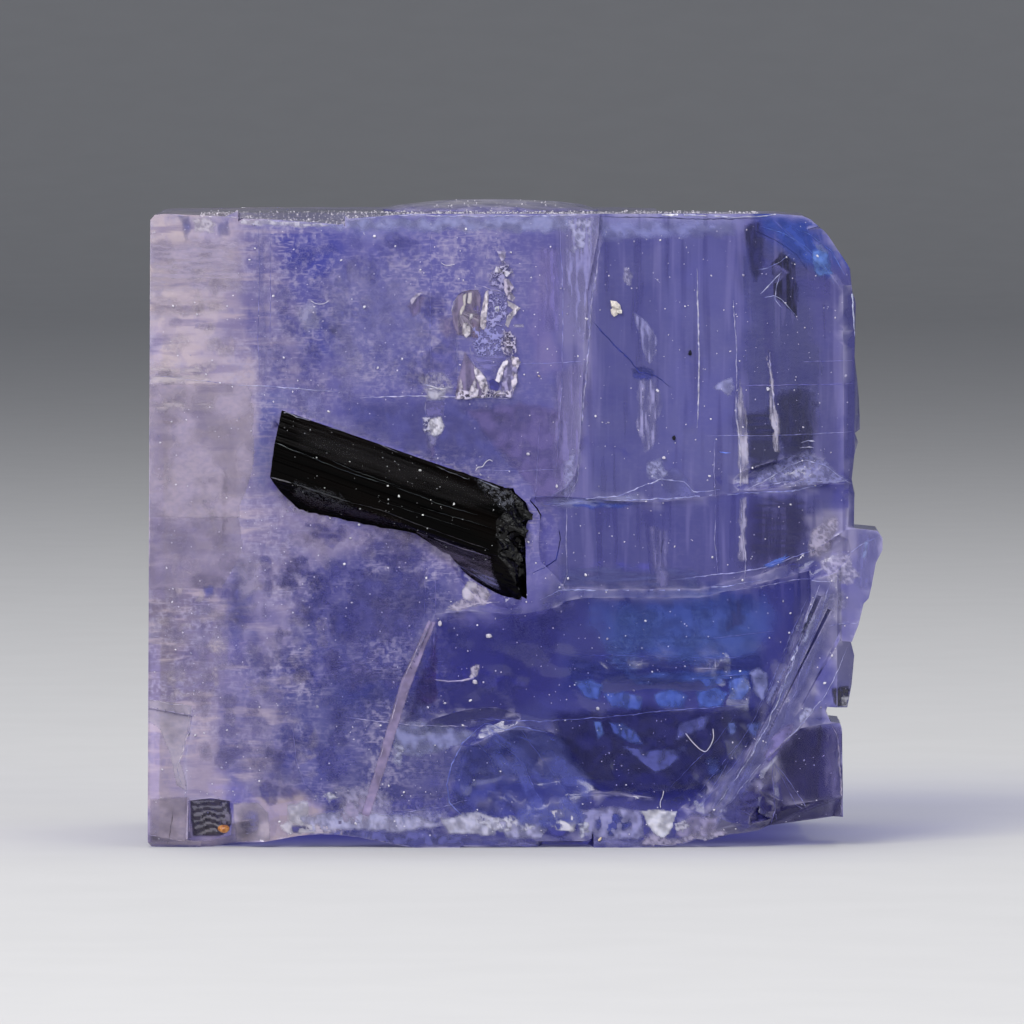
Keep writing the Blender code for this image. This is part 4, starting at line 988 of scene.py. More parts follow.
def buildPatches(finder, pieceName, table, spacing, first=0):
    # fine nets a hair above the face: their clearness fades at the edge and with the grain
    corners, faces, tints = [], [], []
    for number, (kind, rgb, strength, soft, lift, outline) in enumerate(table, first):
        step = spacing if soft < 12 else spacing * 2
        x0, x1 = min(p[0] for p in outline) - soft / 2 - 2, max(p[0] for p in outline) + soft / 2 + 2
        y0, y1 = min(p[1] for p in outline) - soft / 2 - 2, max(p[1] for p in outline) + soft / 2 + 2
        nx, ny = int((x1 - x0) / step) + 1, int((y1 - y0) / step) + 1
        gx, gy = np.meshgrid(x0 + np.arange(nx) * step, y0 + np.arange(ny) * step)
        gx, gy = gx.ravel(), gy.ravel()
        flat = np.column_stack([gx, np.full(len(gx), number * 31.0), gy])
        sx, sz, size, share, rough, raised = grainOf[kind]
        rag = min(6.0, 1.5 + soft * 0.5) * rough
        ragX = gx + (latticeNoise(flat, 9.0, 71) - 0.5) * rag * 2
        ragY = gy + (latticeNoise(flat, 9.0, 72) - 0.5) * rag * 2
        inside = -edgeDistance(ragX, ragY, outline)
        if kind == "band":
            flat = np.column_stack([(gx * 0.908 + gy * 0.42) * 2.5, flat[:, 1], (gy * 0.908 - gx * 0.42) * 0.3])
        if kind == "slope":
            flat = np.column_stack([(gx * 0.945 + gy * 0.327) * 0.25, flat[:, 1], (gy * 0.945 - gx * 0.327) * 3.0])
        if kind == "fan":
            flat = np.column_stack([np.arctan2(gy - outline[0][1], gx - outline[0][0]) * 60, flat[:, 1],
                                    np.hypot(gx - outline[0][0], gy - outline[0][1]) * 0.4])
        grain = latticeNoise(flat * (sx, 1, sz), size, 73 + number, 3)
        if kind == "swirl":
            grain = 0.5 + 0.5 * np.sin((gy + gx * 0.15 + (grain - 0.5) * 13) * 0.9)
        if kind == "lace":
            fine = latticeNoise(flat, size * 0.5, 74 + number, 2)
            grain = 1 - np.minimum(np.abs(grain - 0.5), np.abs(fine - 0.5) * 1.2) * 9
        grain = smooth(0.30, 0.66, grain)
        alpha = smooth(-soft / 2, soft / 2, inside) * strength * (1 - share * (1 - grain))
        rise = (0.003 + lift * raised * grain) * mm
        index = np.full(len(gx), -1)
        for k in np.nonzero(inside > -soft / 2)[0]:
            spot = finder.at(gx[k], gy[k], rise[k])
            if spot is None:
                continue
            index[k] = len(corners)
            corners.append(spot)
            glow = 0.82 + 0.24 * grain[k]
            tints.append((*(min(255, part * glow) for part in rgb), alpha[k]))
        for j in range(ny - 1):
            for i in range(nx - 1):
                low = j * nx + i
                square = [index[low], index[low + 1], index[low + nx + 1], index[low + nx]]
                if min(square) >= 0 and max(tints[v][3] for v in square) > 0.02:
                    ys = [corners[v].y for v in square]
                    if max(ys) - min(ys) < 0.1 * mm:
                        faces.append(tuple(int(v) for v in square))
    return meshPiece(pieceName, corners, faces, tints)


# The crumpled fracture: the same kind of patches, laid more finely and with more relief; the small white patch at
# 495,307 is a painted highlight
fracture = readTable("""
plain: 98,94,160 0.55 8 0.02 | 442,340 458,338 458,392 426,384 428,350
smoke: 122,108,142 0.45 9 0.02 | 440,318 456,316 457,334 446,338 440,330
smoke: 124,112,140 0.92 2 0.06 | 456,298 462,293 470,290.5 478,290 481,296 480,312 480,336 470,337 457,335
      453,322 452,312
smoke: 112,102,156 0.8 4 0.04 | 473,292 480,293 479,314 472,313
smoke: 204,196,196 0.9 2 0.12 | 462,296 467,293 464,310 461,316 459,312
smoke: 190,182,186 0.85 2 0.12 | 468,293 472,292 471,304 467,303
fan: 150,140,160 0.7 3 0.1 | 458,311 479,311 479,326 470,332 458,326
crisp: 196,188,196 0.88 2 0.14 | 463,323 470,323 470,334 466,338 462,333
crisp: 206,200,206 0.8 2 0.14 | 470,314 475,312 473,318 469,321
smoke: 120,104,130 0.8 4 0.04 | 473,318 481,318 480,338 473,338
crisp: 214,204,212 0.96 1.5 0.2 | 486,291 489,290 488.5,300 487,314 486,328 483,330 480,327 481,313 483,303
lace: 150,146,194 0.85 3 0.08 | 489,290 503,291 507,300 506,326 486,328 487,312
crisp: 226,224,236 0.95 1.5 0.14 | 495,307 499,306 499,312 495,312
lace: 150,144,184 0.9 3 0.1 | 493,270 505,274 507,290 496,288 489,285 490,278
crisp: 176,168,196 0.8 1.5 0.14 | 497,251 506,252 505,259 502,263 499,257
lace: 170,164,196 0.9 2 0.14 | 500,262 506,261 511,268 513,272 507,277 497,270
crisp: 206,200,214 0.85 1.5 0.18 | 496,266 503,270 512,272 507,277 500,273 494,272
crisp: 178,168,190 0.92 1.5 0.2 | 504,278 509,279 514,287 511,292 516,297 513,302 508,299 504,290
crisp: 214,206,216 0.95 1.2 0.24 | 507,300 511,302 521,308 517,312 511,320 508,328 505,325 507,316 513,310
      508,306
lace: 176,168,194 0.95 2 0.18 | 504,328 511,331 516,338 516,352 512,357 504,354 501,345 503,334
crisp: 168,160,188 0.7 2 0.12 | 505,332 510,332 513,345 511,354 506,352 503,342
lace: 140,138,192 0.85 4 0.06 | 473,328 505,327 503,345 505,356 478,356 472,342
across: 126,122,182 0.65 4 0.04 | 474,353 504,354 500,366 492,372 480,368
smoke: 128,116,152 0.9 3 0.06 | 465,352 470,360 477,370 484,384 488,397 456,398 458,382 461,368
crisp: 206,198,212 0.92 1.5 0.22 | 474,366 480,370 486,378 489,391 485,396 480,386 475,376
crisp: 196,188,204 0.88 1.5 0.2 | 470,388 475,378 479,388 478,397 468,397
crisp: 190,180,196 0.85 1.5 0.16 | 458,384 461,378 464,390 464,398 456,398
lace: 190,182,206 0.92 2 0.16 | 456,388 470,391 490,389 500,392 512,389 511,397 456,399
crisp: 150,142,184 0.85 2 0.1 | 507,358 518,358 517,380 512,397 500,397 502,380
crisp: 216,208,220 0.95 1.3 0.24 | 507,359 509,362 504,369 502,379 499,383 495,380 498,370 503,362
crisp: 206,196,212 0.92 1.3 0.22 | 511,356 518,357 521,362 517,370 517,383 513,392 511,384 513,370 512,362
plain: 70,68,140 0.85 1.5 0 | 489,381 493,378 499,380 500,386 497,391 491,390
crisp: 216,208,218 0.92 1.3 0.2 | 493,392 500,390 506,392 503,396 494,396
crumb: 172,166,192 0.5 7 0.06 | 420,376 440,372 455,380 454,391 424,390
crisp: 184,180,198 0.75 5 0.06 | 427,389 445,390 444,399 428,400
plain: 116,110,166 0.6 3 0.02 | 425,401 444,401 444,416 426,416
crisp: 206,202,216 0.88 3 0.1 | 430,419 441,417 444,426 441,433 434,436 427,431 428,424
lace: 186,182,204 0.8 3 0.1 | 423,418 430,418 430,436 424,432
plain: 142,138,184 0.5 5 0.04 | 427,432 440,434 434,446 429,446
smoke: 120,108,150 0.7 4 0.04 | 415,298 424,296 420,312 413,316 408,306
crisp: 176,168,190 0.75 1.5 0.12 | 410,300 418,293 423,292 417,298 412,305
across: 70,66,130 0.4 10 0.02 | 422,294 444,293 446,316 424,318
""")


# Dust: how many grains, their largest size in photo pixels and their colours
dust = {
    "faceCount": 1500,
    "prismCount": 80,
    "topCount": 1500,
    "largest": 2.4,
    "white": (226, 222, 234),
    "grey": (160, 156, 186),
    "onPrism": (170, 172, 174),
    "largeOnPrism": (214, 216, 214),
    "onTop": (206, 202, 210),
}
# the larger grains are placed one by one: size, colour, place in photo pixels
faceGrains = readTable("""
pale grain: 5.5 222,214,206 | 616,306
pale grain: 4 214,206,200 | 614,312
pale grain: 4 224,218,212 | 619,311
dark: 3 34,36,50 | 690,353
dark: 2.2 24,24,34 | 674,438
bead: 2 200,198,214 | 768,389
bead: 1.6 176,160,168 | 539,376
bead: 2 206,202,218 | 528,454
bead: 2.4 210,204,216 | 664,458
bead: 2.6 206,200,216 | 475,682
bead: 2.2 206,200,214 | 489,636 440,624
bead: 2 200,198,216 | 598,709
warm: 2.2 224,206,170 | 600,840
""")
prismGrains = readTable("""
large: 2.4 | 420,470
large: 2.6 | 454,503 399,495
middle: 1.4 | 388,485
middle: 1.3 | 423,514 431,499
middle: 1.6 | 381,439
small: 1.2 | 317,457 325,487 372,549 350,461
""")


def crumb(centre, size):
    # a small irregular grain of twenty faces
    t = (1 + 5 ** 0.5) / 2
    base = [(-1, t, 0), (1, t, 0), (-1, -t, 0), (1, -t, 0), (0, -1, t), (0, 1, t), (0, -1, -t), (0, 1, -t),
            (t, 0, -1), (t, 0, 1), (-t, 0, -1), (-t, 0, 1)]
    angle = dice.uniform(0, 6.28)
    axis = Vector((dice.uniform(-1, 1), dice.uniform(-1, 1), dice.uniform(0.1, 1))).normalized()
    turn = Matrix.Rotation(angle, 3, axis)
    stretch = Vector((dice.uniform(0.6, 1.5), dice.uniform(0.6, 1.2), dice.uniform(0.6, 1.3)))
    corners = []
    for corner in base:
        v = Vector(corner) / 1.9 * dice.uniform(0.75, 1.2)
        corners.append(centre + turn @ Vector((v.x * stretch.x, v.y * stretch.y, v.z * stretch.z)) * size)
    rings = [(0, 11, 5), (0, 5, 1), (0, 1, 7), (0, 7, 10), (0, 10, 11), (1, 5, 9), (5, 11, 4), (11, 10, 2),
             (10, 7, 6), (7, 1, 8), (3, 9, 4), (3, 4, 2), (3, 2, 6), (3, 6, 8), (3, 8, 9), (4, 9, 5), (2, 4, 11),
             (6, 2, 10), (8, 6, 7), (9, 8, 1)]
    return corners, rings


def buildDust(finder, topTree, prismFinder):
    corners, faces, tints = [], [], []

    def put(spot, size, rgb):
        if spot is None:
            return
        start = len(corners)
        points, rings = crumb(spot, size)
        corners.extend(points)
        faces.extend(tuple(start + i for i in ring) for ring in rings)
        tints.extend([rgb] * len(points))

    for k in range(dust["faceCount"]):
        px, py = dice.uniform(152, 850), dice.uniform(222, 842)
        size = min(dust["largest"], 0.40 + dice.expovariate(2.4)) * 0.62 * pixel
        spot = finder.at(px, py, size * 0.3)
        if spot is not None:
            put(spot, size, dust["white"] if dice.random() < 0.8 else dust["grey"])
    for k in range(dust["prismCount"]):
        along, across = dice.uniform(0, 4.3), dice.uniform(-0.6, 0.8)
        place = fromPrism(np.array([(along, across, 0)]))[0]
        spot = prismFinder.at(place[0] / pixel + middlePx, floorPy - place[2] / pixel, 0.2 * pixel)
        if spot is not None:
            put(spot, (0.22 + min(0.6, dice.expovariate(5.0))) * pixel, dust["onPrism"])
    for name, size, places in prismGrains:
        for px, py in places:
            put(prismFinder.at(px, py, size * 0.25 * pixel), size * 0.6 * pixel, dust["largeOnPrism"])
    # dust lying along the top and its front edge
    for k in range(dust["topCount"]):
        px = dice.uniform(200, 760)
        x, _ = onPhoto(px, 0)
        y = frontY + abs(dice.gauss(0, 1.6)) * mm
        hit = topTree.ray_cast(Vector((x, min(y, 4.4 * mm), 0.02)), Vector((0, 0, -1)))[0]
        if hit is not None and hit.z > 0.0105:
            size = min(dust["largest"], 0.5 + dice.expovariate(2.2)) * 0.55 * pixel
            if hit.z + size * 1.2 < cadBox[1][2]:
                put(hit + Vector((0, 0, size * 0.2)), size, dust["onTop"])
    for name, size, rgb, places in faceGrains:
        for px, py in places:
            put(finder.at(px, py, size * 0.25 * pixel), size * pixel, rgb)
    return meshPiece("dust", corners, faces, tints)


# threads: thickness and corners in photo pixels
fibres = [
    (0.7, [(475, 472), (478, 466), (482, 468), (486, 461), (491, 459), (493, 463)]),
    (0.6, [(481, 472), (479, 476), (483, 474)]),
    (0.8, [(685, 733), (692, 742), (700, 750), (706, 753), (711, 746), (714, 738), (713, 728)]),
    (0.7, [(664, 790), (663, 797), (660, 803), (661, 810)]),
    (0.5, [(310, 300), (316, 304), (324, 304), (330, 300)]),
    (0.5, [(440, 262), (446, 266), (456, 264)]),
]


def buildFibres(finder):
    # thin four-sided threads that lie on the face and lift off it a little
    corners, faces, tints = [], [], []
    for width, line in fibres:
        path = resample(line, 1.2)
        smoothPath = []
        for k in range(len(path)):
            near = path[max(0, k - 2):k + 3]
            smoothPath.append((sum(p[0] for p in near) / len(near), sum(p[1] for p in near) / len(near)))
        previous = None
        for k, (px, py) in enumerate(smoothPath):
            lift = (0.6 + 1.1 * math.sin(math.pi * k / len(smoothPath))) * pixel
            middle = finder.at(px, py, lift)
            if middle is None:
                previous = None
                continue
            half = width * pixel * (0.5 if 0 < k < len(smoothPath) - 1 else 0.2)
            ax, ay = smoothPath[max(0, k - 1)]
            bx, by = smoothPath[min(len(smoothPath) - 1, k + 1)]
            length = math.hypot(bx - ax, by - ay) or 1.0
            side = Vector((-(by - ay) / length, 0, -(bx - ax) / length)) * half
            out = Vector((0, -half, 0))
            start = len(corners)
            corners += [middle + side, middle + out, middle - side, middle - out]
            tints += [(220, 216, 226)] * 4
            if previous is None:
                faces.append((start, start + 1, start + 2, start + 3))
            else:
                joinRings(faces, previous, start, 4)
            previous = start
        if previous is not None:
            faces.append((previous + 3, previous + 2, previous + 1, previous))
    return meshPiece("fibres", corners, faces, tints)


def buildPrism():
    piece = copyOfNode("blackPrism", "aegirine_prism")
    bevelEdges(piece, prism, 2)
    makeActive(piece)
    bpy.ops.object.mode_set(mode="EDIT")
    ways = fromPrism(np.array([(0.0, 0, 0), (1.0, 0, 0), (0, 1.0, 0), (0, 0, 1.0)]))
    for axis, step, low, high in prism["cuts"]:
        normal = (ways[axis + 1] - ways[0]) / mm
        for k in range(int((high - low) / step) + 1):
            bisectAll(ways[0] + normal * (low + k * step) * mm, normal)
    bpy.ops.object.mode_set(mode="OBJECT")
    mesh = piece.data
    points = coordinates(mesh)
    normals = normalsOf(mesh)
    local = toPrism(points)
    turned = toPrism(points + normals * mm) - local
    broken = smooth(0.25, 0.7, turned[:, 0]) * smooth(3.4, 3.8, local[:, 0])
    ends = np.maximum(broken, smooth(4.02, 4.3, local[:, 0]) * 0.35)
    flute = (latticeNoise(local * (0.10, 9.0, 9.0), 1.0, 61, 3) - 0.5) * 2 * prism["flute"]
    flute += (latticeNoise(local * (0.05, 2.5, 2.5), 1.0, 62, 2) - 0.5) * prism["flute"]
    cells = np.floor(local * 7.5 + latticeNoise(local, 0.3, 63)[:, None] * 1.2)
    lumps = latticeNoise(cells * 1.0, 0.37, 64, 1)
    grit = ((lumps - 0.5) * 1.6 + (latticeNoise(local, 0.10, 65, 2) - 0.5)) * prism["grit"]
    points += normals * (flute * (1 - broken))[:, None]
    along = (ways[1] - ways[0]) / mm
    points += along * (grit * broken)[:, None] + normals * (grit * ends * 0.5)[:, None]
    points = settlePrism(points)
    points[:, 1] = np.maximum(points[:, 1], cadBox[0][1] + 1e-7)
    setCoordinates(mesh, points)
    layer = mesh.attributes.new("broken", "FLOAT", "POINT")
    layer.data.foreach_set("value", ends.astype(np.float32))
    return piece


# node helpers
def feed(tree, socket, value):
    # a socket takes a number, a colour, a vector or another node's output
    if hasattr(value, "links"):
        tree.links.new(value, socket)
    elif isinstance(value, (tuple, list)):
        socket.default_value = (*value, 1.0)[:len(socket.default_value)]
    else:
        socket.default_value = value


def addNode(tree, kind, **settings):
    node = tree.nodes.new(kind)
    for key, value in settings.items():
        setattr(node, key, value)
    return node


def mixColour(tree, factor, first, second, blend="MIX"):
    node = addNode(tree, "ShaderNodeMix", data_type="RGBA", blend_type=blend)
    for k, value in ((0, factor), (6, first), (7, second)):
        feed(tree, node.inputs[k], value)
    return node.outputs[2]


def mathNode(tree, operation, first, second):
    node = addNode(tree, "ShaderNodeMath", operation=operation)
    feed(tree, node.inputs[0], first)
    feed(tree, node.inputs[1], second)
    return node.outputs[0]


def ramp(tree, value, low, high, outLow=0.0, outHigh=1.0):
    node = addNode(tree, "ShaderNodeMapRange", interpolation_type="SMOOTHSTEP")
    for socket, number in zip(node.inputs, (value, low, high, outLow, outHigh)):
        feed(tree, socket, number)
    return node.outputs[0]


def makeGroup(name, inputs, outputs):
    tree = bpy.data.node_groups.new(name, "ShaderNodeTree")
    for label, kind, default in inputs:
        socket = tree.interface.new_socket(name=label, in_out="INPUT", socket_type="NodeSocket" + kind)
        if default is not None:
            socket.default_value = default
    for label in outputs:
        tree.interface.new_socket(name=label, in_out="OUTPUT", socket_type="NodeSocketFloat")
    return tree, tree.nodes.new("NodeGroupInput"), tree.nodes.new("NodeGroupOutput")


def useGroup(tree, group, **values):
    node = addNode(tree, "ShaderNodeGroup", node_tree=group)
    for key, value in values.items():
        feed(tree, node.inputs[key], value)
    return node


def buildGroups():
    groups = {}
    # grain: noise stretched along an axis and cut between two levels
    tree, start, end = makeGroup("stretchedGrain", [
        ("Vector", "Vector", None), ("Stretch", "Vector", (1, 1, 1)), ("Scale", "Float", 1.0),
        ("Detail", "Float", 3.0), ("Low", "Float", 0.4), ("High", "Float", 0.6)], ["Mask", "Value"])
    times = addNode(tree, "ShaderNodeVectorMath", operation="MULTIPLY")
    tree.links.new(start.outputs["Vector"], times.inputs[0])
    tree.links.new(start.outputs["Stretch"], times.inputs[1])
    grain = addNode(tree, "ShaderNodeTexNoise")
    tree.links.new(times.outputs[0], grain.inputs["Vector"])
    for name in ("Scale", "Detail"):
        tree.links.new(start.outputs[name], grain.inputs[name])
    tree.links.new(ramp(tree, grain.outputs["Fac"], start.outputs["Low"], start.outputs["High"]), end.inputs["Mask"])
    tree.links.new(grain.outputs["Fac"], end.inputs["Value"])
    groups["grain"] = tree
    # specks: small dots scattered in cells
    tree, start, end = makeGroup("scatteredSpecks", [
        ("Vector", "Vector", None), ("Scale", "Float", 1.0), ("Size", "Float", 0.2)], ["Mask"])
    cells = addNode(tree, "ShaderNodeTexVoronoi")
    for name in ("Vector", "Scale"):
        tree.links.new(start.outputs[name], cells.inputs[name])
    inner = mathNode(tree, "MULTIPLY", start.outputs["Size"], 0.5)
    tree.links.new(ramp(tree, cells.outputs["Distance"], start.outputs["Size"], inner), end.inputs["Mask"])
    groups["specks"] = tree
    return groups


def newMaterial(name):
    material = bpy.data.materials.new(name)
    material.use_nodes = True
    tree = material.node_tree
    shader = tree.nodes["Principled BSDF"]
    place = addNode(tree, "ShaderNodeTexCoord")
    scaled = addNode(tree, "ShaderNodeMapping")
    scaled.inputs["Scale"].default_value = (1000, 1000, 1000)     # patterns are sized in millimetres
    tree.links.new(place.outputs["Object"], scaled.inputs["Vector"])
    return material, tree, shader, scaled.outputs["Vector"]


def grainMask(tree, groups, vector, scale, low, high, stretch=(1, 1, 1), detail=3.0):
    return useGroup(tree, groups["grain"], Vector=vector, Stretch=stretch, Scale=scale, Detail=detail,
                    Low=low, High=high).outputs["Mask"]


def addBump(tree, shader, height, strength, distance):
    bump = addNode(tree, "ShaderNodeBump")
    bump.inputs["Strength"].default_value = strength
    bump.inputs["Distance"].default_value = distance
    tree.links.new(height, bump.inputs["Height"])
    tree.links.new(bump.outputs["Normal"], shader.inputs["Normal"])


def letLampsIn(tree, shader, tint):
    # lamps reach what is inside the clear stone
    path = addNode(tree, "ShaderNodeLightPath")
    clear = addNode(tree, "ShaderNodeBsdfTransparent")
    clear.inputs["Color"].default_value = (*tint, 1.0)
    mixer = addNode(tree, "ShaderNodeMixShader")
    tree.links.new(path.outputs["Is Shadow Ray"], mixer.inputs[0])
    tree.links.new(shader.outputs[0], mixer.inputs[1])
    tree.links.new(clear.outputs[0], mixer.inputs[2])
    tree.links.new(mixer.outputs[0], tree.nodes["Material Output"].inputs["Surface"])


# the carletonite's finish
stone = {
    "clearness": 0.55,
    "roughness": 0.10,
    "ior": 1.52,
    "absorbColour": (0.30, 0.30, 0.80),
    "absorbDensity": 420.0,
    "shadowTint": (0.8, 0.8, 0.92),
    "gain": (1.52, 1.49, 1.50),       # surface colour over the colour seen
    "dark": (0.68, 0.70, 0.92),       # what the dark clumps leave of the colour
    "darkFrost": (0.62, 0.64, 0.86),
    "wisps": (168, 162, 196),
    "frost": (196, 188, 212),
    "streaks": (186, 178, 204),
    "paleBands": (206, 190, 196),
    "greyBands": (136, 126, 164),
    "paleColumns": (134, 130, 184),
    "darkColumns": (64, 62, 122),
    "bumpStrength": 0.12,
    "bumpDepth": 0.005 * mm,
}


def stoneMaterial(groups):
    # the broad zones are painted on the piece; here come the finer frost, bands and columns
    material, tree, shader, vector = newMaterial("carletonite")
    tint = addNode(tree, "ShaderNodeAttribute", attribute_name="tint").outputs["Color"]
    habit = addNode(tree, "ShaderNodeAttribute", attribute_name="habit")
    parts = addNode(tree, "ShaderNodeSeparateColor")
    tree.links.new(habit.outputs["Color"], parts.inputs[0])
    haze, bands, columns = parts.outputs[0], parts.outputs[1], parts.outputs[2]
    frost = habit.outputs["Alpha"]

    def grain(scale, stretch=(1, 1, 1), detail=3.0):
        return useGroup(tree, groups["grain"], Vector=vector, Stretch=stretch, Scale=scale,
                        Detail=detail).outputs["Value"]

    def mask(value, low, high, where, share):
        return mathNode(tree, "MULTIPLY", ramp(tree, value, low, high, 0.0, share), where)

    def shade(colour, mask, name):
        return mixColour(tree, mask, colour, linear(stone[name]))

    def darken(colour, mask, name):
        return mixColour(tree, mask, colour, mixColour(tree, 1.0, colour, stone[name], "MULTIPLY"))

    clumps = grain(1.7, (1.8, 1.0, 0.8), 4.0)
    wisps = grain(3.4, detail=3.5)
    fine = grain(13.0, detail=2.5)
    streaks = grain(1.0, (5.0, 5.0, 26.0), 1.5)
    layers = grain(1.0, (1.2, 2.0, 7.0), 3.0)
    upright = grain(1.0, (5.5, 3.0, 0.40), 2.0)
    colour = darken(tint, mask(clumps, 0.50, 0.56, haze, 0.45), "dark")
    colour = shade(colour, mask(wisps, 0.46, 0.74, frost, 0.55), "wisps")
    colour = shade(colour, mask(fine, 0.44, 0.76, frost, 0.60), "frost")
    colour = darken(colour, mask(fine, 0.50, 0.24, frost, 0.5), "darkFrost")
    colour = shade(colour, mask(streaks, 0.55, 0.70, frost, 0.50), "streaks")
    colour = shade(colour, mask(layers, 0.50, 0.72, bands, 0.75), "paleBands")
    colour = shade(colour, mask(layers, 0.48, 0.30, bands, 0.6), "greyBands")
    colour = shade(colour, mask(upright, 0.52, 0.70, columns, 0.40), "paleColumns")
    colour = shade(colour, mask(upright, 0.46, 0.30, columns, 0.50), "darkColumns")
    colour = mixColour(tree, 1.0, colour, stone["gain"], "MULTIPLY")
    tree.links.new(colour, shader.inputs["Base Color"])
    shader.inputs["Transmission Weight"].default_value = stone["clearness"]
    shader.inputs["Roughness"].default_value = stone["roughness"]
    shader.inputs["IOR"].default_value = stone["ior"]
    addBump(tree, shader, grain(12.0, (1, 1, 1.6), 0.0), stone["bumpStrength"], stone["bumpDepth"])
    letLampsIn(tree, shader, stone["shadowTint"])
    absorb = addNode(tree, "ShaderNodeVolumeAbsorption")
    absorb.inputs["Color"].default_value = (*stone["absorbColour"], 1.0)
    absorb.inputs["Density"].default_value = stone["absorbDensity"]
    tree.links.new(absorb.outputs[0], tree.nodes["Material Output"].inputs["Volume"])
    return material


# the aegirine's finish: colours as shader values, roughness along the prism and on its broken end
aegirine = {
    "black": (0.0003, 0.0003, 0.0003),
    "streak": (0.0014, 0.0011, 0.0010),
    "broad": (0.0026, 0.0015, 0.0011),
    "speck": (0.20, 0.20, 0.21),
    "roughness": (0.10, 0.26),
    "brokenRoughness": (0.05, 0.16),
    "shine": (0.045, 0.30),
    "bumpStrength": 0.5,
    "bumpDepth": 0.01 * mm,
}


def blackMaterial(groups):
    material, tree, shader, vector = newMaterial("aegirine")
    turned = addNode(tree, "ShaderNodeVectorRotate", rotation_type="Y_AXIS")
    tree.links.new(vector, turned.inputs["Vector"])
    turned.inputs["Angle"].default_value = -prism["angle"]
    along = turned.outputs[0]
    broken = addNode(tree, "ShaderNodeAttribute", attribute_name="broken").outputs["Fac"]
    streak = grainMask(tree, groups, along, 1.0, 0.35, 0.68, (0.22, 14.0, 14.0))
    broad = grainMask(tree, groups, along, 1.0, 0.40, 0.62, (0.5, 2.0, 2.0), 2.0)
    gritty = grainMask(tree, groups, vector, 9.0, 0.3, 0.7, detail=4.0)
    specks = useGroup(tree, groups["specks"], Vector=vector, Scale=3.5, Size=0.07).outputs["Mask"]
    colour = mixColour(tree, streak, aegirine["black"], aegirine["streak"])
    colour = mixColour(tree, mathNode(tree, "MULTIPLY", broad, 0.5), colour, aegirine["broad"])
    colour = mixColour(tree, mathNode(tree, "MULTIPLY", specks, 0.35), colour, aegirine["speck"])
    tree.links.new(colour, shader.inputs["Base Color"])
    blend = addNode(tree, "ShaderNodeMix")
    tree.links.new(broken, blend.inputs[0])
    tree.links.new(ramp(tree, streak, 0.0, 1.0, *aegirine["roughness"]), blend.inputs[2])
    tree.links.new(ramp(tree, gritty, 0.0, 1.0, *aegirine["brokenRoughness"]), blend.inputs[3])
    tree.links.new(blend.outputs[0], shader.inputs["Roughness"])
    tree.links.new(ramp(tree, broken, 0.2, 0.9, *aegirine["shine"]), shader.inputs["Specular IOR Level"])
    grit = mathNode(tree, "MULTIPLY", gritty, mathNode(tree, "MULTIPLY", broken, 3.0))
    addBump(tree, shader, mathNode(tree, "ADD", streak, grit), aegirine["bumpStrength"], aegirine["bumpDepth"])
    return material


# the finishes of marks, of painted highlights, sheen and shadow, and of dirt: grain size, its levels, stretch and
# detail, what the grain leaves of the colour, roughness and shine
finishes = {
    "cleavage edges and painted glints": (7.0, 0.38, 0.62, (1, 1, 1), 3.0, (0.42, 0.44, 0.68), 0.35, 0.4),
    "veils and chips": (11.0, 0.28, 0.68, (1, 1, 1.4), 1.5, (0.84, 0.86, 0.92), 0.30, 0.35),
    "dust and lint": (30.0, 0.3, 0.7, (1, 1, 1), 2.0, (0.72, 0.72, 0.74), 0.85, 0.2),
}


def tintedMaterial(groups, name, seeThrough=False):
    # coloured by the piece's own tint, and see-through by the share that the tint carries
    material, tree, shader, vector = newMaterial(name)
    scale, low, high, stretch, detail, leaves, roughness, shine = finishes[name]
    tint = addNode(tree, "ShaderNodeAttribute", attribute_name="tint")
    grain = grainMask(tree, groups, vector, scale, low, high, stretch, detail)
    dull = mixColour(tree, 1.0, tint.outputs["Color"], leaves, "MULTIPLY")
    tree.links.new(mixColour(tree, grain, dull, tint.outputs["Color"]), shader.inputs["Base Color"])
    if seeThrough:
        tree.links.new(tint.outputs["Alpha"], shader.inputs["Alpha"])
    shader.inputs["Roughness"].default_value = roughness
    shader.inputs["Specular IOR Level"].default_value = shine
    return material


orangeGrain = {
    "dark": (150, 84, 34),
    "pale": (214, 150, 84),
    "roughness": 0.32,
    "bumpStrength": 0.5,
    "bumpDepth": 0.02 * mm,
}


def orangeMaterial(groups):
    material, tree, shader, vector = newMaterial("orange mineral")
    grain = grainMask(tree, groups, vector, 9.0, 0.35, 0.65, detail=4.0)
    colour = mixColour(tree, grain, linear(orangeGrain["dark"]), linear(orangeGrain["pale"]))
    tree.links.new(colour, shader.inputs["Base Color"])
    shader.inputs["Roughness"].default_value = orangeGrain["roughness"]
    addBump(tree, shader, grain, orangeGrain["bumpStrength"], orangeGrain["bumpDepth"])
    return material


# stage
studio = {
    "elevation": 2.0,
    "distance": 0.25,
    "aim": (-0.000054, -0.004275, 0.006053),
    "view": 0.018432,              # width of the picture at the front face, in metres
    "floorSize": 0.9,
    "floorColour": (0.56, 0.56, 0.57),
    "worldColour": (0.86, 0.90, 1.0),
    "worldStrength": 0.24,
    # lamps: name, place, size, power, colour
    "lamps": [("keyLight", (-0.09, -0.16, 0.15), 0.12, 0.48, (1.0, 0.98, 0.96)),
              ("fillLight", (0.16, -0.16, 0.06), 0.12, 0.16, (0.95, 0.97, 1.0)),
              ("topLight", (0.0, 0.03, 0.2), 0.14, 0.22, (1.0, 1.0, 1.0))],
}


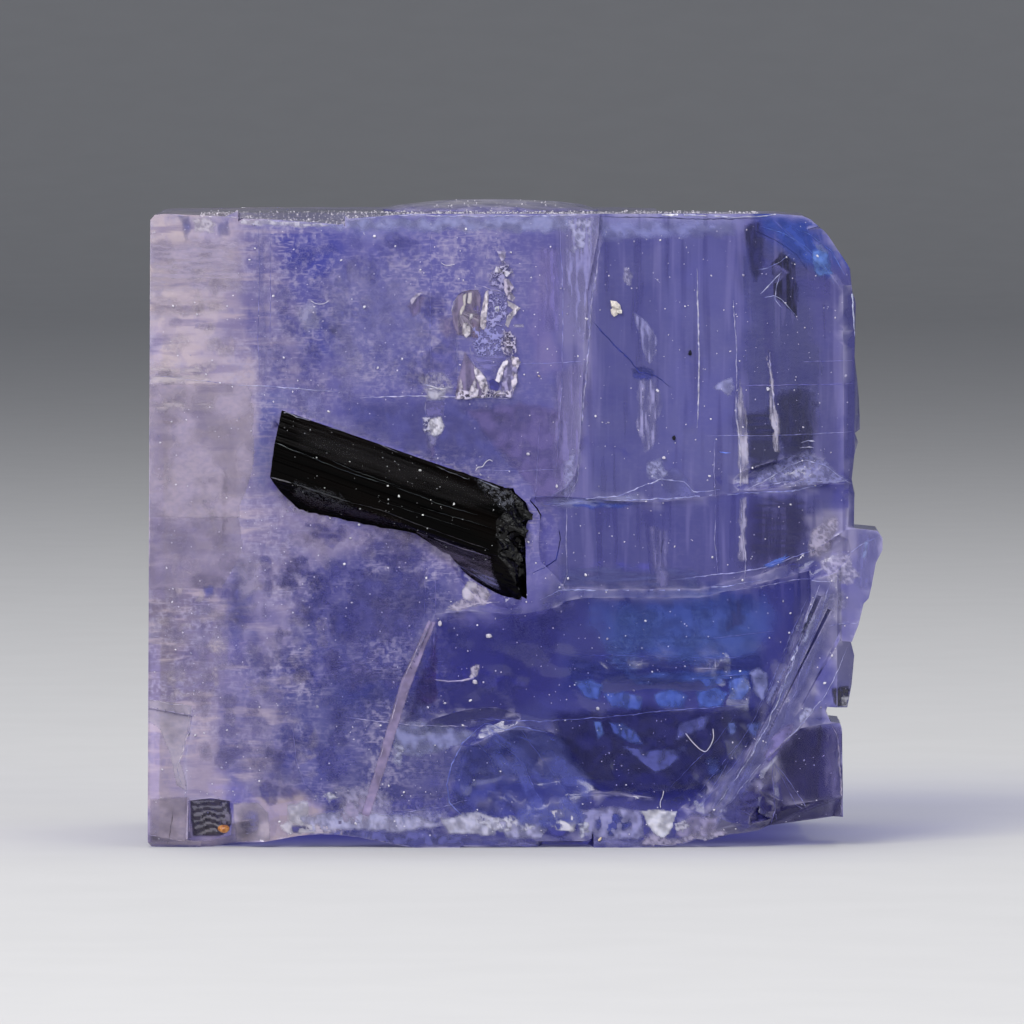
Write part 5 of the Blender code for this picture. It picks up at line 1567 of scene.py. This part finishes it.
def makeLight(name, place, size, power, colour):
    data = bpy.data.lights.new(name, "AREA")
    data.size = size
    data.energy = power
    data.color = colour
    lamp = bpy.data.objects.new(name, data)
    bpy.context.scene.collection.objects.link(lamp)
    lamp.location = place
    lamp.rotation_euler = (Vector((0, 0, 0.006)) - Vector(place)).to_track_quat("-Z", "Y").to_euler()


def buildFloor(groups):
    # a floor that curves up into a backdrop far behind
    bpy.ops.mesh.primitive_plane_add(size=studio["floorSize"])
    sweep = bpy.context.active_object
    sweep.name = "paleFloor"
    bpy.ops.object.mode_set(mode="EDIT")
    bpy.context.tool_settings.mesh_select_mode = (False, True, False)
    bpy.ops.mesh.select_all(action="DESELECT")
    bpy.ops.object.mode_set(mode="OBJECT")
    for edge in sweep.data.edges:
        edge.select = all(sweep.data.vertices[v].co.y > 0.4 for v in edge.vertices)
    bpy.ops.object.mode_set(mode="EDIT")
    for k in range(12):
        angle = math.radians(7.5 * (k + 0.5))
        bpy.ops.mesh.extrude_region_move(TRANSFORM_OT_translate={
            "value": (0, 0.03 * math.cos(angle), 0.03 * math.sin(angle))})
    bpy.ops.mesh.extrude_region_move(TRANSFORM_OT_translate={"value": (0, 0, 0.4)})
    bpy.ops.mesh.select_all(action="SELECT")
    bpy.ops.mesh.normals_make_consistent(inside=False)
    bpy.ops.object.mode_set(mode="OBJECT")
    bpy.ops.object.shade_smooth()
    material, tree, shader, vector = newMaterial("pale paper")
    grain = grainMask(tree, groups, vector, 0.4, 0.2, 0.8, detail=4.0)
    pale = studio["floorColour"]
    colour = mixColour(tree, grain, [c * 0.985 for c in pale], [min(1.0, c * 1.015) for c in pale])
    tree.links.new(colour, shader.inputs["Base Color"])
    shader.inputs["Roughness"].default_value = 0.9
    shader.inputs["Specular IOR Level"].default_value = 0.15
    sweep.data.materials.append(material)


def buildStage(groups):
    buildFloor(groups)
    world = bpy.data.worlds.new("softRoom")
    bpy.context.scene.world = world
    world.use_nodes = True
    back = world.node_tree.nodes["Background"]
    back.inputs[0].default_value = (*studio["worldColour"], 1.0)
    back.inputs[1].default_value = studio["worldStrength"]
    for lamp in studio["lamps"]:
        makeLight(*lamp)

    data = bpy.data.cameras.new("photoCamera")
    camera = bpy.data.objects.new("photoCamera", data)
    bpy.context.scene.collection.objects.link(camera)
    bpy.context.scene.camera = camera
    lift = math.radians(studio["elevation"])
    aim = Vector(studio["aim"])
    camera.location = aim + Vector((0, -math.cos(lift), math.sin(lift))) * studio["distance"]
    camera.rotation_euler = (aim - camera.location).to_track_quat("-Z", "Y").to_euler()
    data.sensor_width = 36
    data.lens = 36 * studio["distance"] / studio["view"]
    data.clip_start = 0.01
    data.clip_end = 10
    view = bpy.context.scene.view_settings
    view.view_transform = "Standard"
    view.look = "None"
    # more bounces change little here
    cycles = bpy.context.scene.cycles
    cycles.max_bounces = 4
    cycles.transmission_bounces = 4
    cycles.diffuse_bounces = 1
    cycles.glossy_bounces = 1
    cycles.caustics_refractive = False
    cycles.caustics_reflective = False


# put together
groups = buildGroups()
buildStage(groups)
print("stage ready")

block = buildCrystal()
closeSocket(block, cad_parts["aegirine_prism"], crystal["socketGap"], gap)
setCoordinates(block.data, settlePrism(coordinates(block.data)))
wear(block)
print("crystal shaped:", len(block.data.polygons), "faces")
paintCrystal(block)
makeActive(block)
bpy.ops.object.shade_smooth_by_angle(angle=math.radians(crystal["smoothAngle"]))
block.data.materials.append(stoneMaterial(groups))
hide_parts("carletonite_crystal")
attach(block, "root")
print("crystal painted")

black = finish(buildPrism(), blackMaterial(groups), 26)
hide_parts("aegirine_prism")
print("prism ready")

finder = FaceFinder(block)
prismFinder = FaceFinder(black)
# the line finish also carries the painted highlights along edges and the prism's ridges
lineAndGlintFinish = tintedMaterial(groups, "cleavage edges and painted glints")
# the patch finish also carries painted sheen on the prism and a painted highlight and a painted shadow on the face
veilAndLightFinish = tintedMaterial(groups, "veils and chips", seeThrough=True)
# streaks and cracks on the face, with painted highlights along its upper and right edges
finish(buildLines(finder, "cleavageAndHighlightLines", lines), lineAndGlintFinish, 40)
# painted highlights along the prism's ridges and rim, with a few striations
finish(buildLines(prismFinder, "prismGlintLines", prismGlintLines), lineAndGlintFinish, 40)
print("lines laid")
mottled = drawMottles()
finish(buildPatches(finder, "hazeMottles", mottled, 1.6), veilAndLightFinish, 40)
finish(buildPatches(finder, "facePatches", patches, 1.6, len(mottled)), veilAndLightFinish, 40)
finish(buildPatches(finder, "crumpledFracture", fracture, 0.9), veilAndLightFinish, 40)
# painted sheen on the prism, and its own brownish black
finish(buildPatches(prismFinder, "prismSheenAndTone", prismSheenAndTone, 1.4), veilAndLightFinish, 40)
print("patches and fracture laid")
dustFinish = tintedMaterial(groups, "dust and lint")
finish(buildDust(finder, finder.tree, prismFinder), dustFinish, None)
finish(buildFibres(finder), dustFinish, 60)
print("dust and fibres laid")
orange = orangeMaterial(groups)
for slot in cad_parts["orange_grain"].material_slots:
    slot.material = orange
